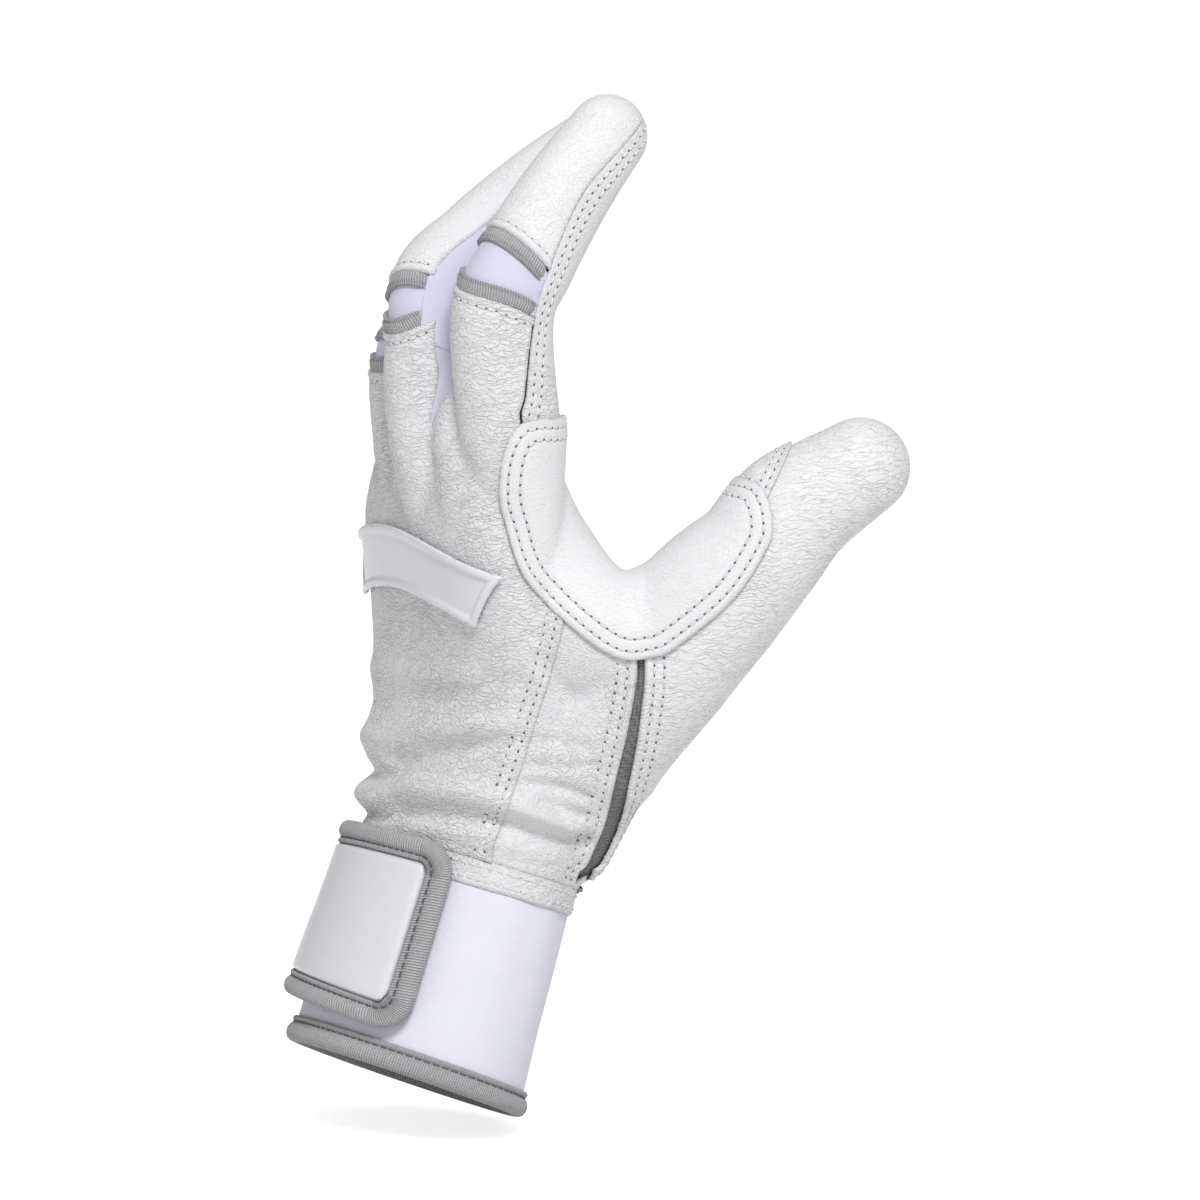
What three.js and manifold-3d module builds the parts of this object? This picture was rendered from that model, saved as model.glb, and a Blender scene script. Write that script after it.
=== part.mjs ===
// Batting glove for the left hand, shown filled as it is when worn.
// Units are millimetres. +Z runs from the cuff to the fingertips, +X is the palm side, -X the back
// of the hand, -Y the thumb side and +Y the little-finger side. The origin is the centre of the
// cuff mouth. Every sewn panel is its own closed solid, a stitching gap away from its neighbours.

import * as THREE from 'three';
import { mergeVertices } from 'three/addons/utils/BufferGeometryUtils.js';
import Module from 'manifold-3d';

const wasm = await Module();
wasm.setup();

// Clearances and overruns
const SEAM_GAP = 0.3;
const OVERRUN = 60;
const REACH = 400;

// Material thicknesses
const LEATHER = 1.1;
const SPANDEX = 0.9;
const SLEEVE_WALL = 1.3;
const PATCH_LEATHER = 1.2;
const PATCH_PVC = 1.6;
const TAPE_WALL = 1.2;
const LOOP_PILE = 0.9;
const HOOK_TAB = 0.9;
const BAND_WALL = 1.2;
const BADGE_WALL = 1.5;

// Cuff: an oval sleeve that leans towards the palm. The shapes are drawn from a point on its axis
// CUFF_DROP above the mouth, and moved at the end so that the origin is the mouth's centre.
const CUFF_LEAN = 18.5;
const CUFF_LENGTH = 41.5;
const CUFF_DROP = 6.2;
const CUFF_TILT = 1.6;
const CUFF_MOUTH_THICK = 51;
const CUFF_MOUTH_WIDE = 67;
const CUFF_TOP_THICK = 48;
const CUFF_TOP_WIDE = 64;
const HEM_LENGTH = 5;
const CUFF_TAPE_WIDTH = 5.8;

// Palm: from the wrist seam to the finger forks
const PALM_LENGTH = 102;
const PALM_THICK = 48;
const PALM_WIDE = 84;
const PALM_SET = 14.9;
const FOLD_HEIGHT = 2.4;
const PALM_SQUARE_SHARE = 0.3;

// Fingers
const FINGER_PITCH = 22.8;
const FINGER_SHIFT = 1;
const FINGER_THICK = 24.6;
const FINGER_WIDE = 22.2;
const KNUCKLE_RISE = 134;
const ROOT_RISE = 72;
const KNUCKLE_BACK = 12.4;
const DISTAL_LENGTH = 51;
const FORK_RISE = 97.4;
const FORK_HALF = 2.3;
const CREASE_OUT = 0.5;
const SEAM_DROP = 2.8;
const TAPE_LIFT = 0.9;

// Thumb and web
const THUMB_ROOT_X = 28;
const THUMB_ROOT_Y = 20.8;
const THUMB_ROOT_Z = 53;
const THUMB_REACH = 54;
const THUMB_SPREAD = 45;
const THUMB_RISE = 85.3;
const THUMB_THICK = 36;
const THUMB_WIDE = 30;
const WEB_THICK = 32;
const WEB_WIDE = 26;

// Panel lines on the thumb side are drawn on an upright plane turned this far from the XZ plane
const SIDE_TURN = 30;
const SIDE_DEPTH = 1.5;
const FINGER_DEPTH = 12;
const SLIT_WIDTH = 2.2;

// Knuckle openings, as angles about the crease under each knuckle
const LEATHER_OPEN_ANGLE = 16;
const TAPE_OPEN_ANGLE = 8;
const FRONT_OPEN_ANGLE = 7.5;

// Name band on the back of the hand, part of a ring drawn on the YZ plane
const BAND_RADIUS = 83;
const BAND_WIDTH = 15;
const BAND_CENTRE_Y = 1;
const BAND_TOP = 123.5;
const BAND_REACH = 37;

// Wrist strap
const STRAP_START_ANGLE = -112;
const STRAP_END_ANGLE = 49;
const STRAP_FLARE_ANGLE = -80;
const ANCHOR_LENGTH = 9;
const STRAP_TOP = 48.3;
const STRAP_ROOT_WIDTH = 41;
const STRAP_END_WIDTH = 45.5;
const STRAP_CORNER = 7;
const STRAP_TAPE_WIDTH = 5.6;
const BADGE_LENGTH = 52;

const rad = THREE.MathUtils.degToRad;

// Geometry to solid and back

// Triangles in the order that makes the enclosed volume positive
function facingOut(places, corners) {
  const at = (k) => new THREE.Vector3().fromArray(places, 3 * corners[k]);
  let volume = 0;
  for (let k = 0; k < corners.length; k += 3) {
    volume += at(k).dot(at(k + 1).cross(at(k + 2)));
  }
  return volume < 0 ? corners.reverse() : corners;
}

function solidOf(geometry) {
  const bare = geometry.clone();
  bare.deleteAttribute('normal');
  bare.deleteAttribute('uv');
  const merged = mergeVertices(bare);
  const vertProperties = Float32Array.from(merged.attributes.position.array);
  const triVerts = facingOut(vertProperties, Uint32Array.from(merged.index.array));
  return new wasm.Manifold(new wasm.Mesh({ numProp: 3, vertProperties, triVerts }));
}

function geometryOf(solid) {
  const mesh = solid.getMesh();
  const geometry = new THREE.BufferGeometry();
  geometry.setAttribute('position', new THREE.BufferAttribute(Float32Array.from(mesh.vertProperties), 3));
  geometry.setIndex(new THREE.BufferAttribute(Uint32Array.from(mesh.triVerts), 1));
  geometry.computeVertexNormals();
  return geometry;
}

// The largest body of a cut, without the crumbs that a cut through a curved wall leaves
function mainBody(solid) {
  const bodies = solid.decompose();
  bodies.sort((a, b) => b.volume() - a.volume());
  return bodies[0];
}

function unionOf(solids) {
  return solids.reduce((sum, solid) => sum.add(solid));
}

// Lofts: closed skins through rings of points, with a fan over each end

function loft(rings, startPoint, endPoint) {
  const sides = rings[0].length;
  const last = (rings.length - 1) * sides;
  const points = rings.flat();
  const index = [];
  for (let r = 0; r < rings.length - 1; r += 1) {
    for (let s = 0; s < sides; s += 1) {
      const a = r * sides + s;
      const b = r * sides + (s + 1) % sides;
      index.push(a, b, b + sides, a, b + sides, a + sides);
    }
  }
  const start = points.length;
  const end = start + 1;
  points.push(startPoint, endPoint);
  for (let s = 0; s < sides; s += 1) {
    const next = (s + 1) % sides;
    index.push(start, next, s, end, last + s, last + next);
  }
  const geometry = new THREE.BufferGeometry().setFromPoints(points);
  geometry.setIndex(index);
  return geometry;
}

// A closed skin through rings that run round and meet themselves
function closedLoft(rings) {
  const sides = rings[0].length;
  const count = rings.length;
  const index = [];
  for (let r = 0; r < count; r += 1) {
    for (let s = 0; s < sides; s += 1) {
      const a = r * sides + s;
      const b = r * sides + (s + 1) % sides;
      const c = ((r + 1) % count) * sides + s;
      const d = ((r + 1) % count) * sides + (s + 1) % sides;
      index.push(a, b, d, a, d, c);
    }
  }
  const geometry = new THREE.BufferGeometry().setFromPoints(rings.flat());
  geometry.setIndex(index);
  return geometry;
}

// A closed plate on a curved surface. place(u, v, lift) gives the point at the lift above it, and
// rows holds one [u, from, to] for each cross line of the plate.
function plate(place, rows, columns, inner, outer) {
  const rings = rows.map(([u, from, to]) => {
    const ring = [];
    for (let c = 0; c <= columns; c += 1) {
      ring.push(place(u, from + (to - from) * c / columns, outer));
    }
    for (let c = columns; c >= 0; c -= 1) {
      ring.push(place(u, from + (to - from) * c / columns, inner));
    }
    return ring;
  });
  const middle = (ring) => ring[0].clone().add(ring[columns + 1]).multiplyScalar(0.5);
  return loft(rings, middle(rings[0]), middle(rings[rings.length - 1]));
}

// Tubes: ovals of changing size along a centreline. A tube's wide axis points to the thumb side
// and its thick axis to the back of the hand.

function tube(stations, wideAxis, tipLength = 0) {
  const curve = new THREE.CatmullRomCurve3(stations.map((s) => s.at), false, 'centripetal');
  const count = stations.length - 1;
  const between = (field, t) => {
    const k = Math.min(Math.floor(t * count), count - 1);
    const share = t * count - k;
    return stations[k][field] * (1 - share) + stations[k + 1][field] * share;
  };
  const frame = (t) => {
    const along = curve.getTangent(t);
    const axis = wideAxis.clone().applyAxisAngle(Z_AXIS, -rad(between('turn', t)));
    const wide = axis.addScaledVector(along, -axis.dot(along)).normalize();
    const thick = wide.clone().cross(along);
    return { at: curve.getPoint(t), along, wide, thick };
  };
  return { between, count, frame, tipLength };
}

function ringAt(frame, thick, wide, sides, fold, square) {
  const ring = [];
  const rounded = (value) => Math.sign(value) * Math.pow(Math.abs(value), 2 / square);
  for (let s = 0; s < sides; s += 1) {
    const angle = 2 * Math.PI * s / sides;
    const lift = fold * Math.max(0, Math.cos(angle + rad(SIDE_TURN)));
    const point = frame.at.clone();
    point.addScaledVector(frame.thick, (thick + lift) * rounded(Math.cos(angle)));
    point.addScaledVector(frame.wide, (wide + lift) * rounded(Math.sin(angle)));
    ring.push(point);
  }
  return ring;
}

function tubeSolid(body, sides, stepsPerStation, grow) {
  const steps = body.count * stepsPerStation;
  const rings = [];
  for (let i = 0; i <= steps; i += 1) {
    const t = i / steps;
    const thick = body.between('thick', t) + grow;
    const wide = body.between('wide', t) + grow;
    rings.push(ringAt(body.frame(t), thick, wide, sides, body.between('fold', t), body.between('square', t)));
  }
  const first = body.frame(0);
  const last = body.frame(1);
  const tip = body.tipLength > 0 ? body.tipLength + grow : 0;
  const tipRings = body.tipLength > 0 ? 3 : 0;
  for (let i = 1; i <= tipRings; i += 1) {
    const turn = Math.PI / 2 * i / (tipRings + 1);
    const shift = last.along.clone().multiplyScalar(tip * Math.sin(turn));
    const at = last.at.clone().add(shift);
    const thick = (body.between('thick', 1) + grow) * Math.cos(turn);
    const wide = (body.between('wide', 1) + grow) * Math.cos(turn);
    rings.push(ringAt({ ...last, at }, thick, wide, sides, 0, 2));
  }
  const pole = last.at.clone().addScaledVector(last.along, tip);
  return solidOf(loft(rings, first.at, pole));
}

// Prisms that cut panels out of the skin

function prism(points, basis, from, to) {
  const shape = new THREE.Shape(points.map(([a, b]) => new THREE.Vector2(a, b)));
  const geometry = new THREE.ExtrudeGeometry(shape, { depth: to - from, bevelEnabled: false });
  geometry.translate(0, 0, from);
  geometry.applyMatrix4(basis);
  return solidOf(geometry);
}

const X_AXIS = new THREE.Vector3(1, 0, 0);
const Y_AXIS = new THREE.Vector3(0, 1, 0);
const Z_AXIS = new THREE.Vector3(0, 0, 1);
// Seam lines are drawn in shares of the palm's width across and of the thumb's rise up
const SIDE_WIDTH = PALM_WIDE / 1.4;
const SIDE_HEIGHT = THUMB_ROOT_Z + THUMB_RISE * 0.844;
const SIDE_ACROSS = X_AXIS.clone().applyAxisAngle(Z_AXIS, -rad(SIDE_TURN));
const SIDE_OUT = Y_AXIS.clone().negate().applyAxisAngle(Z_AXIS, -rad(SIDE_TURN));
const SIDE_PLANE = new THREE.Matrix4().makeBasis(SIDE_ACROSS, Z_AXIS, SIDE_OUT);
const BACK_PLANE = new THREE.Matrix4().makeBasis(Y_AXIS, Z_AXIS, X_AXIS);
const FINGER_PLANE = new THREE.Matrix4().makeBasis(X_AXIS, Z_AXIS, Y_AXIS.clone().negate());

// Cuff surface: angle from the back of the hand towards the thumb, height up the leaning axis

const CUFF_AXIS = Z_AXIS.clone().applyAxisAngle(Y_AXIS, rad(CUFF_LEAN));
const CUFF_BACK = X_AXIS.clone().negate().applyAxisAngle(Y_AXIS, rad(CUFF_LEAN));
const CUFF_SIDE = Y_AXIS.clone().negate();
const WRIST_HEIGHT = CUFF_LENGTH + HEM_LENGTH + SEAM_GAP;

function cuffPoint(angle, height, lift) {
  const share = height / WRIST_HEIGHT;
  const thick = (CUFF_MOUTH_THICK + (CUFF_TOP_THICK - CUFF_MOUTH_THICK) * share) / 2 + lift;
  const wide = (CUFF_MOUTH_WIDE + (CUFF_TOP_WIDE - CUFF_MOUTH_WIDE) * share) / 2 + lift;
  const point = CUFF_AXIS.clone().multiplyScalar(height);
  point.addScaledVector(CUFF_BACK, thick * Math.cos(rad(angle)));
  return point.addScaledVector(CUFF_SIDE, wide * Math.sin(rad(angle)));
}

// How far the mouth lies below the drawing's zero height; it is less at the back of the hand
function mouthDrop(angle) {
  return CUFF_DROP - CUFF_TILT * Math.cos(rad(angle));
}

function cuffOval(height, lift, sides) {
  const ring = [];
  for (let s = 0; s < sides; s += 1) {
    ring.push(cuffPoint(360 * s / sides, height, lift));
  }
  return ring;
}

function cuffCore(from, to, lift, sides) {
  const rings = [cuffOval(from, lift, sides), cuffOval(to, lift, sides)];
  const start = CUFF_AXIS.clone().multiplyScalar(from);
  const end = CUFF_AXIS.clone().multiplyScalar(to);
  return solidOf(loft(rings, start, end));
}

function cuffRing(from, to, inner, outer) {
  const bore = cuffCore(from - OVERRUN, to + OVERRUN, inner, CUFF_SIDES);
  return cuffCore(from, to, outer, CUFF_SIDES).subtract(bore);
}

// Sides of the faceted tubes
const PALM_SIDES = 26;
const THUMB_SIDES = 16;
const WEB_SIDES = 12;
const CUFF_SIDES = 30;

// Palm tube: shares of height, forward set, half thickness, half width and fold height, and the
// turn of the section towards the little finger in degrees

const palmShares = [
  [0.0, 0.0, 1.0, 0.762, 0, 0],
  [0.09, 0.07, 0.98, 0.8, 0.35, 0],
  [0.175, 0.13, 0.94, 0.845, 1, 0],
  [0.245, 0.15, 0.855, 0.87, 0, 0],
  [0.315, 0.17, 0.81, 0.89, 1, 0],
  [0.37, 0.18, 0.77, 0.905, 0, 0],
  [0.45, 0.15, 0.71, 0.92, 0, 1],
  [0.625, 0.05, 0.64, 0.945, 0, 5],
  [0.795, -0.09, 0.58, 0.935, 0, 8],
  [0.945, -0.1, 0.52, 0.9, 0, 12],
  [1.0, -0.1, 0.4, 0.82, 0, 12],
];

const WRIST_CENTRE = CUFF_AXIS.clone().multiplyScalar(WRIST_HEIGHT);
const PALM_BOW = PALM_SET * 1.8;

function palmTube() {
  const stations = palmShares.map(([rise, set, thick, wide, fold, turn]) => ({
    at: WRIST_CENTRE.clone().add(new THREE.Vector3(PALM_BOW * set, 0, PALM_LENGTH * rise)),
    thick: PALM_THICK / 2 * thick,
    wide: PALM_WIDE / 2 * wide,
    fold: FOLD_HEIGHT * fold,
    turn,
    square: 2 + 2 * PALM_SQUARE_SHARE * Math.min(1, rise * 3),
  }));
  return tube(stations, CUFF_SIDE);
}

// Fingers: row place, knuckle rise, knuckle and root set-back, distal length, girth, the lean of
// the distal part at the knuckle and at the tip, and the turn of the knuckle opening up the back

const FINGERS = [
  { name: 'index', row: -1.5, riseShare: 0.982, backShare: 0.69, rootShare: 0.1, lengthShare: 0.92,
    girthShare: 1.0, leanFrom: 28, leanTo: 43, openTurn: 20 },
  { name: 'middle', row: -0.5, riseShare: 1.0, backShare: 1.0, rootShare: 0.4, lengthShare: 1.0,
    girthShare: 1.0, leanFrom: 38, leanTo: 61, openTurn: -11 },
  { name: 'ring', row: 0.5, riseShare: 0.872, backShare: 0.3, rootShare: 0.05, lengthShare: 0.98,
    girthShare: 0.96, leanFrom: 26, leanTo: 44, openTurn: -9 },
  { name: 'little', row: 1.5, riseShare: 0.775, backShare: -0.45, rootShare: -0.35, lengthShare: 0.78,
    girthShare: 0.84, leanFrom: 22, leanTo: 40, openTurn: -6 },
];
const TIP_SHARE = 0.78;
const FINGER_SIDES = 14;
const DISTAL_STATIONS = 4;

function fingerTube(finger) {
  const y = FINGER_PITCH * finger.row + FINGER_SHIFT;
  const half = { thick: FINGER_THICK / 2 * finger.girthShare, wide: FINGER_WIDE / 2 * finger.girthShare };
  const station = (x, z, girth) => ({
    at: new THREE.Vector3(x, y, z),
    thick: half.thick * girth,
    wide: half.wide * girth,
    fold: 0,
    turn: 0,
    square: 2,
  });
  const knuckleX = WRIST_CENTRE.x - KNUCKLE_BACK * finger.backShare;
  const rootX = WRIST_CENTRE.x - KNUCKLE_BACK * finger.rootShare;
  const rootZ = WRIST_CENTRE.z + ROOT_RISE;
  const knuckleZ = WRIST_CENTRE.z + KNUCKLE_RISE * finger.riseShare;
  const stations = [station(rootX, rootZ, 0.5)];
  stations.push(station(rootX + (knuckleX - rootX) * 0.75, rootZ + (knuckleZ - rootZ) / 2, 0.98));
  stations.push(station(knuckleX, knuckleZ, 1));
  const step = DISTAL_LENGTH * finger.lengthShare / DISTAL_STATIONS;
  let x = knuckleX;
  let z = knuckleZ;
  for (let i = 0; i < DISTAL_STATIONS; i += 1) {
    const share = (i + 0.5) / DISTAL_STATIONS;
    const lean = rad(finger.leanFrom + (finger.leanTo - finger.leanFrom) * share);
    x += step * Math.sin(lean);
    z += step * Math.cos(lean);
    const taper = 1 - (1 - TIP_SHARE) * Math.pow((i + 1) / DISTAL_STATIONS, 1.3);
    stations.push(station(x, z, taper));
  }
  return tube(stations, CUFF_SIDE, half.thick * TIP_SHARE);
}

// The hinge of a finger lies in the crease under its knuckle, just outside the palm leather

function creaseOf(finger, body) {
  const t = 2 / body.count;
  const frame = body.frame(t);
  const reach = body.between('thick', t) + CREASE_OUT;
  const at = frame.at.clone().addScaledVector(frame.thick, -reach);
  const turn = rad(finger.openTurn);
  const back = frame.thick.clone().multiplyScalar(Math.cos(turn));
  back.addScaledVector(frame.along, Math.sin(turn));
  const along = frame.along.clone().multiplyScalar(Math.cos(turn));
  along.addScaledVector(frame.thick, -Math.sin(turn));
  return { at, back, along };
}

// Half plane above or below a line through the crease, turned by an angle, as a prism across Y

function creasePrism(crease, fromAngle, toAngle, y, halfWidth) {
  const line = (angle) => {
    const turn = rad(angle);
    const out = crease.back.clone().multiplyScalar(Math.cos(turn));
    return out.addScaledVector(crease.along, Math.sin(turn));
  };
  const corners = [[crease.at.x, crease.at.z]];
  const steps = 4;
  for (let i = 0; i <= steps; i += 1) {
    const way = line(fromAngle + (toAngle - fromAngle) * i / steps);
    corners.push([crease.at.x + way.x * REACH / 2, crease.at.z + way.z * REACH / 2]);
  }
  return prism(corners, FINGER_PLANE, -y - halfWidth, -y + halfWidth);
}

// Thumb tube: shares of reach, spread, rise, half thickness and half width

const thumbShares = [
  [-0.04, -0.055, -0.105, 0.5, 0.53],
  [0.0, 0.0, 0.0, 0.78, 0.8],
  [0.046, 0.16, 0.205, 1.0, 1.0],
  [0.294, 0.436, 0.469, 0.97, 1.0],
  [0.498, 0.653, 0.659, 0.89, 0.97],
  [0.619, 0.762, 0.758, 0.79, 0.9],
  [0.754, 0.856, 0.865, 0.71, 0.84],
  [1.0, 1.0, 1.0, 0.64, 0.77],
];

// Web tube: shares of the same reach, spread and rise, from the index finger down and up the thumb

const webShares = [
  [-0.415, 0.122, 1.125, 0.62],
  [-0.356, 0.111, 0.926, 0.9],
  [-0.2, 0.118, 0.709, 1.0],
  [-0.044, 0.264, 0.563, 1.0],
  [0.161, 0.393, 0.516, 1.0],
  [0.452, 0.596, 0.618, 0.9],
];

function thumbPlace(reach, spread, rise) {
  const x = THUMB_ROOT_X + THUMB_REACH * reach;
  const y = -THUMB_ROOT_Y - THUMB_SPREAD * spread;
  return new THREE.Vector3(x, y, THUMB_ROOT_Z + THUMB_RISE * rise);
}

function thumbTube() {
  const stations = thumbShares.map(([reach, spread, rise, thick, wide]) => ({
    at: thumbPlace(reach, spread, rise),
    thick: THUMB_THICK / 2 * thick,
    wide: THUMB_WIDE / 2 * wide,
    fold: 0,
    turn: 0,
    square: 2,
  }));
  return tube(stations, SIDE_OUT, THUMB_THICK / 2 * 0.64);
}

function webTube() {
  const stations = webShares.map(([reach, spread, rise, girth]) => ({
    at: thumbPlace(reach, spread, rise),
    thick: WEB_THICK / 2 * girth,
    wide: WEB_WIDE / 2 * girth,
    fold: 0,
    turn: 0,
    square: 2,
  }));
  return tube(stations, SIDE_OUT);
}

const palm = palmTube();
const fingers = FINGERS.map((finger) => {
  const body = fingerTube(finger);
  const y = FINGER_PITCH * finger.row + FINGER_SHIFT;
  return { ...finger, body, y, half: FINGER_PITCH / 2 + SEAM_GAP, crease: creaseOf(finger, body) };
});
const thumb = thumbTube();
const web = webTube();

// The whole hand, grown or shrunk by a lift

function handSolid(lift) {
  const parts = [
    tubeSolid(palm, PALM_SIDES, 1, lift),
    tubeSolid(thumb, THUMB_SIDES, 1, lift),
    tubeSolid(web, WEB_SIDES, 1, lift),
  ];
  fingers.forEach((finger) => parts.push(tubeSolid(finger.body, FINGER_SIDES, 1, lift)));
  return unionOf(parts);
}

const FINGER_LINE_SHARE = 0.8;
const nearHalf = (depth) => prism(
  [[-REACH, -REACH], [REACH, -REACH], [REACH, REACH], [-REACH, REACH]], SIDE_PLANE, depth, REACH);

// Seam lines on the thumb side, as shares of the side plane's width and height

const backSeamShares = [[0.3, 0.24], [0.317, 0.398], [0.35, 0.453], [0.477, 0.627], [0.57, 0.848],
  [0.515, 1.0], [0.448, 1.19], [0.46, 1.248], [0.495, 1.386], [0.56, 1.9]];
const slitShares = [[0.6, 0.2], [0.69, 0.336], [0.763, 0.438], [0.817, 0.536], [0.878, 0.701],
  [0.885, 0.762], [0.85, 0.92], [0.75, 1.9]];
const SIDE_TOP = 0.9;

function seamLine(shares, shift) {
  return shares.map(([across, up]) => [SIDE_WIDTH * across + shift, SIDE_HEIGHT * up]);
}

function besideLine(shares, shift, far, depth) {
  const line = seamLine(shares, shift);
  const top = line[line.length - 1][1];
  const bottom = line[0][1];
  return prism([...line, [far, top], [far, bottom]], SIDE_PLANE, depth, REACH);
}

// Divider between the back and the palm away from the thumb side, drawn on the XY plane

const dividerShares = [[0.06, -1.2], [0.06, -0.12], [0.12, 0.15], [0.24, 0.31], [0.265, 1.2]];

function backHalf(shift) {
  const line = dividerShares.map(([x, y]) => [PALM_WIDE * x + shift, PALM_WIDE * y]);
  const plan = prism([...line, [-REACH, PALM_WIDE * 1.2], [-REACH, -PALM_WIDE * 1.2]],
    new THREE.Matrix4(), -REACH, REACH);
  return plan.subtract(nearHalf(FINGER_DEPTH - shift));
}

function backRegion(shift) {
  return besideLine(backSeamShares, shift, -REACH, FINGER_DEPTH - shift - LEATHER).add(backHalf(shift));
}

function forkPrism(finger, grow) {
  const y = finger.y + FINGER_PITCH / 2;
  const foot = WRIST_CENTRE.z + FORK_RISE;
  const wide = FORK_HALF + grow;
  const points = [[y, foot - FORK_HALF * 2 - grow * 3], [y + wide, foot + FORK_HALF * 4]];
  points.push([y + wide, foot + REACH], [y - wide, foot + REACH], [y - wide, foot + FORK_HALF * 4]);
  return prism(points, BACK_PLANE, -REACH, REACH);
}

const above = (finger, from) => creasePrism(finger.crease, from, 178, finger.y, finger.half);

// Root skin: the hand outside its cavity, above the wrist and below the knuckle openings

const hand = handSolid(0);
const cavity = handSolid(-LEATHER);
const wristBore = cuffCore(WRIST_HEIGHT - OVERRUN, WRIST_HEIGHT + LEATHER * 2, -LEATHER, CUFF_SIDES);
const belowWrist = cuffCore(-OVERRUN, WRIST_HEIGHT, OVERRUN, 8);
const frontCuts = fingers.map((finger) => above(finger, -FRONT_OPEN_ANGLE));
const backCuts = fingers.map((finger) => above(finger, -LEATHER_OPEN_ANGLE));
const thumbCut = thumbPrism(-SEAM_GAP / 2);
const skin = hand.subtract(cavity).subtract(wristBore).subtract(belowWrist).subtract(thumbCut)
  .subtract(unionOf(frontCuts));

const forks = fingers.slice(0, 3).map((finger) => forkPrism(finger, 0));
const forkRooms = unionOf(fingers.slice(0, 3).map((finger) => forkPrism(finger, SEAM_GAP)));
const sideBelow = prism(
  [[-REACH, -REACH], [REACH, -REACH], [REACH, SIDE_HEIGHT * SIDE_TOP], [-REACH, SIDE_HEIGHT * SIDE_TOP]],
  SIDE_PLANE, FINGER_DEPTH, REACH);
const besideSlit = (shift) => besideLine(slitShares, shift, -REACH, FINGER_DEPTH);

function backPanel() {
  const panel = skin.intersect(backRegion(0)).subtract(forkRooms);
  return panel.subtract(unionOf(backCuts));
}

function sidePanel() {
  const strip = skin.intersect(sideBelow).intersect(besideSlit(-SLIT_WIDTH / 2));
  return strip.subtract(backRegion(SEAM_GAP));
}

function thumbShell() {
  const room = besideLine(slitShares, SLIT_WIDTH / 2, REACH, SIDE_DEPTH);
  return skin.intersect(room);
}

function slitGusset() {
  const core = (lift) => tubeSolid(palm, PALM_SIDES, 1, lift).add(tubeSolid(thumb, THUMB_SIDES, 1, lift))
    .add(tubeSolid(web, WEB_SIDES, 1, lift));
  const inset = SEAM_GAP;
  const sheet = core(-inset).subtract(core(-inset - SPANDEX)).subtract(belowWrist);
  const strip = sheet.intersect(besideSlit(SLIT_WIDTH / 2 - SEAM_GAP)).intersect(sideBelow);
  return strip.subtract(besideLine(slitShares, -SLIT_WIDTH / 2 + SEAM_GAP, -REACH, FINGER_DEPTH - 1));
}

function palmPanel() {
  const grown = prism([[-REACH, -REACH], [REACH, -REACH], [REACH, SIDE_HEIGHT * SIDE_TOP + SEAM_GAP],
    [-REACH, SIDE_HEIGHT * SIDE_TOP + SEAM_GAP]], SIDE_PLANE, FINGER_DEPTH - SEAM_GAP, REACH);
  const sideRoom = grown.intersect(besideLine(slitShares, SLIT_WIDTH, -REACH, FINGER_DEPTH - SEAM_GAP));
  const thumbRoom = besideLine(slitShares, SLIT_WIDTH / 2 - SEAM_GAP, REACH, SIDE_DEPTH - SEAM_GAP);
  return skin.subtract(backRegion(SEAM_GAP)).subtract(sideRoom).subtract(thumbRoom).subtract(forkRooms);
}

// Patches laid on the skin

function handShell(bottom, top) {
  return handSolid(top).subtract(handSolid(bottom));
}

const webPatchShares = [[0.42, 1.19], [0.6, 1.215], [0.8, 1.3], [0.8, 1.02], [1.2, 1.1], [1.31, 1.075],
  [1.39, 1.01], [1.375, 0.97], [1.25, 0.878], [1.054, 0.795], [0.954, 0.767], [0.794, 0.764],
  [0.59, 0.82], [0.43, 0.911], [0.353, 1.03], [0.345, 1.126]];

const webRoom = (shift) => prism(seamLine(webPatchShares, shift), SIDE_PLANE, SIDE_DEPTH, REACH);

function webPatch() {
  const patch = handShell(SEAM_GAP, SEAM_GAP + PATCH_LEATHER).intersect(webRoom(0));
  return patch.subtract(forkPrism(fingers[0], FORK_HALF));
}

function nameBand() {
  const outline = [];
  const steps = 14;
  const span = Math.asin(BAND_REACH / BAND_RADIUS);
  const place = (radius, i) => {
    const turn = -span + 2 * span * i / steps;
    return [BAND_CENTRE_Y + radius * Math.sin(turn), BAND_TOP - BAND_RADIUS + radius * Math.cos(turn)];
  };
  for (let i = 0; i <= steps; i += 1) {
    outline.push(place(BAND_RADIUS, i));
  }
  for (let i = steps; i >= 0; i -= 1) {
    outline.push(place(BAND_RADIUS - BAND_WIDTH, i));
  }
  const room = prism(outline, BACK_PLANE, -REACH, WRIST_CENTRE.x);
  const band = handShell(SEAM_GAP, SEAM_GAP + PATCH_PVC).intersect(room);
  return band.subtract(webRoom(-SEAM_GAP)).subtract(webRoom(0));
}

// Finger parts

function lineOf(finger) {
  return finger.body.between('wide', 2 / finger.body.count) * FINGER_LINE_SHARE;
}

function fingerSkin(finger, bottom, top) {
  const outer = tubeSolid(finger.body, FINGER_SIDES, 1, top);
  return outer.subtract(tubeSolid(finger.body, FINGER_SIDES, 1, bottom));
}

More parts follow.
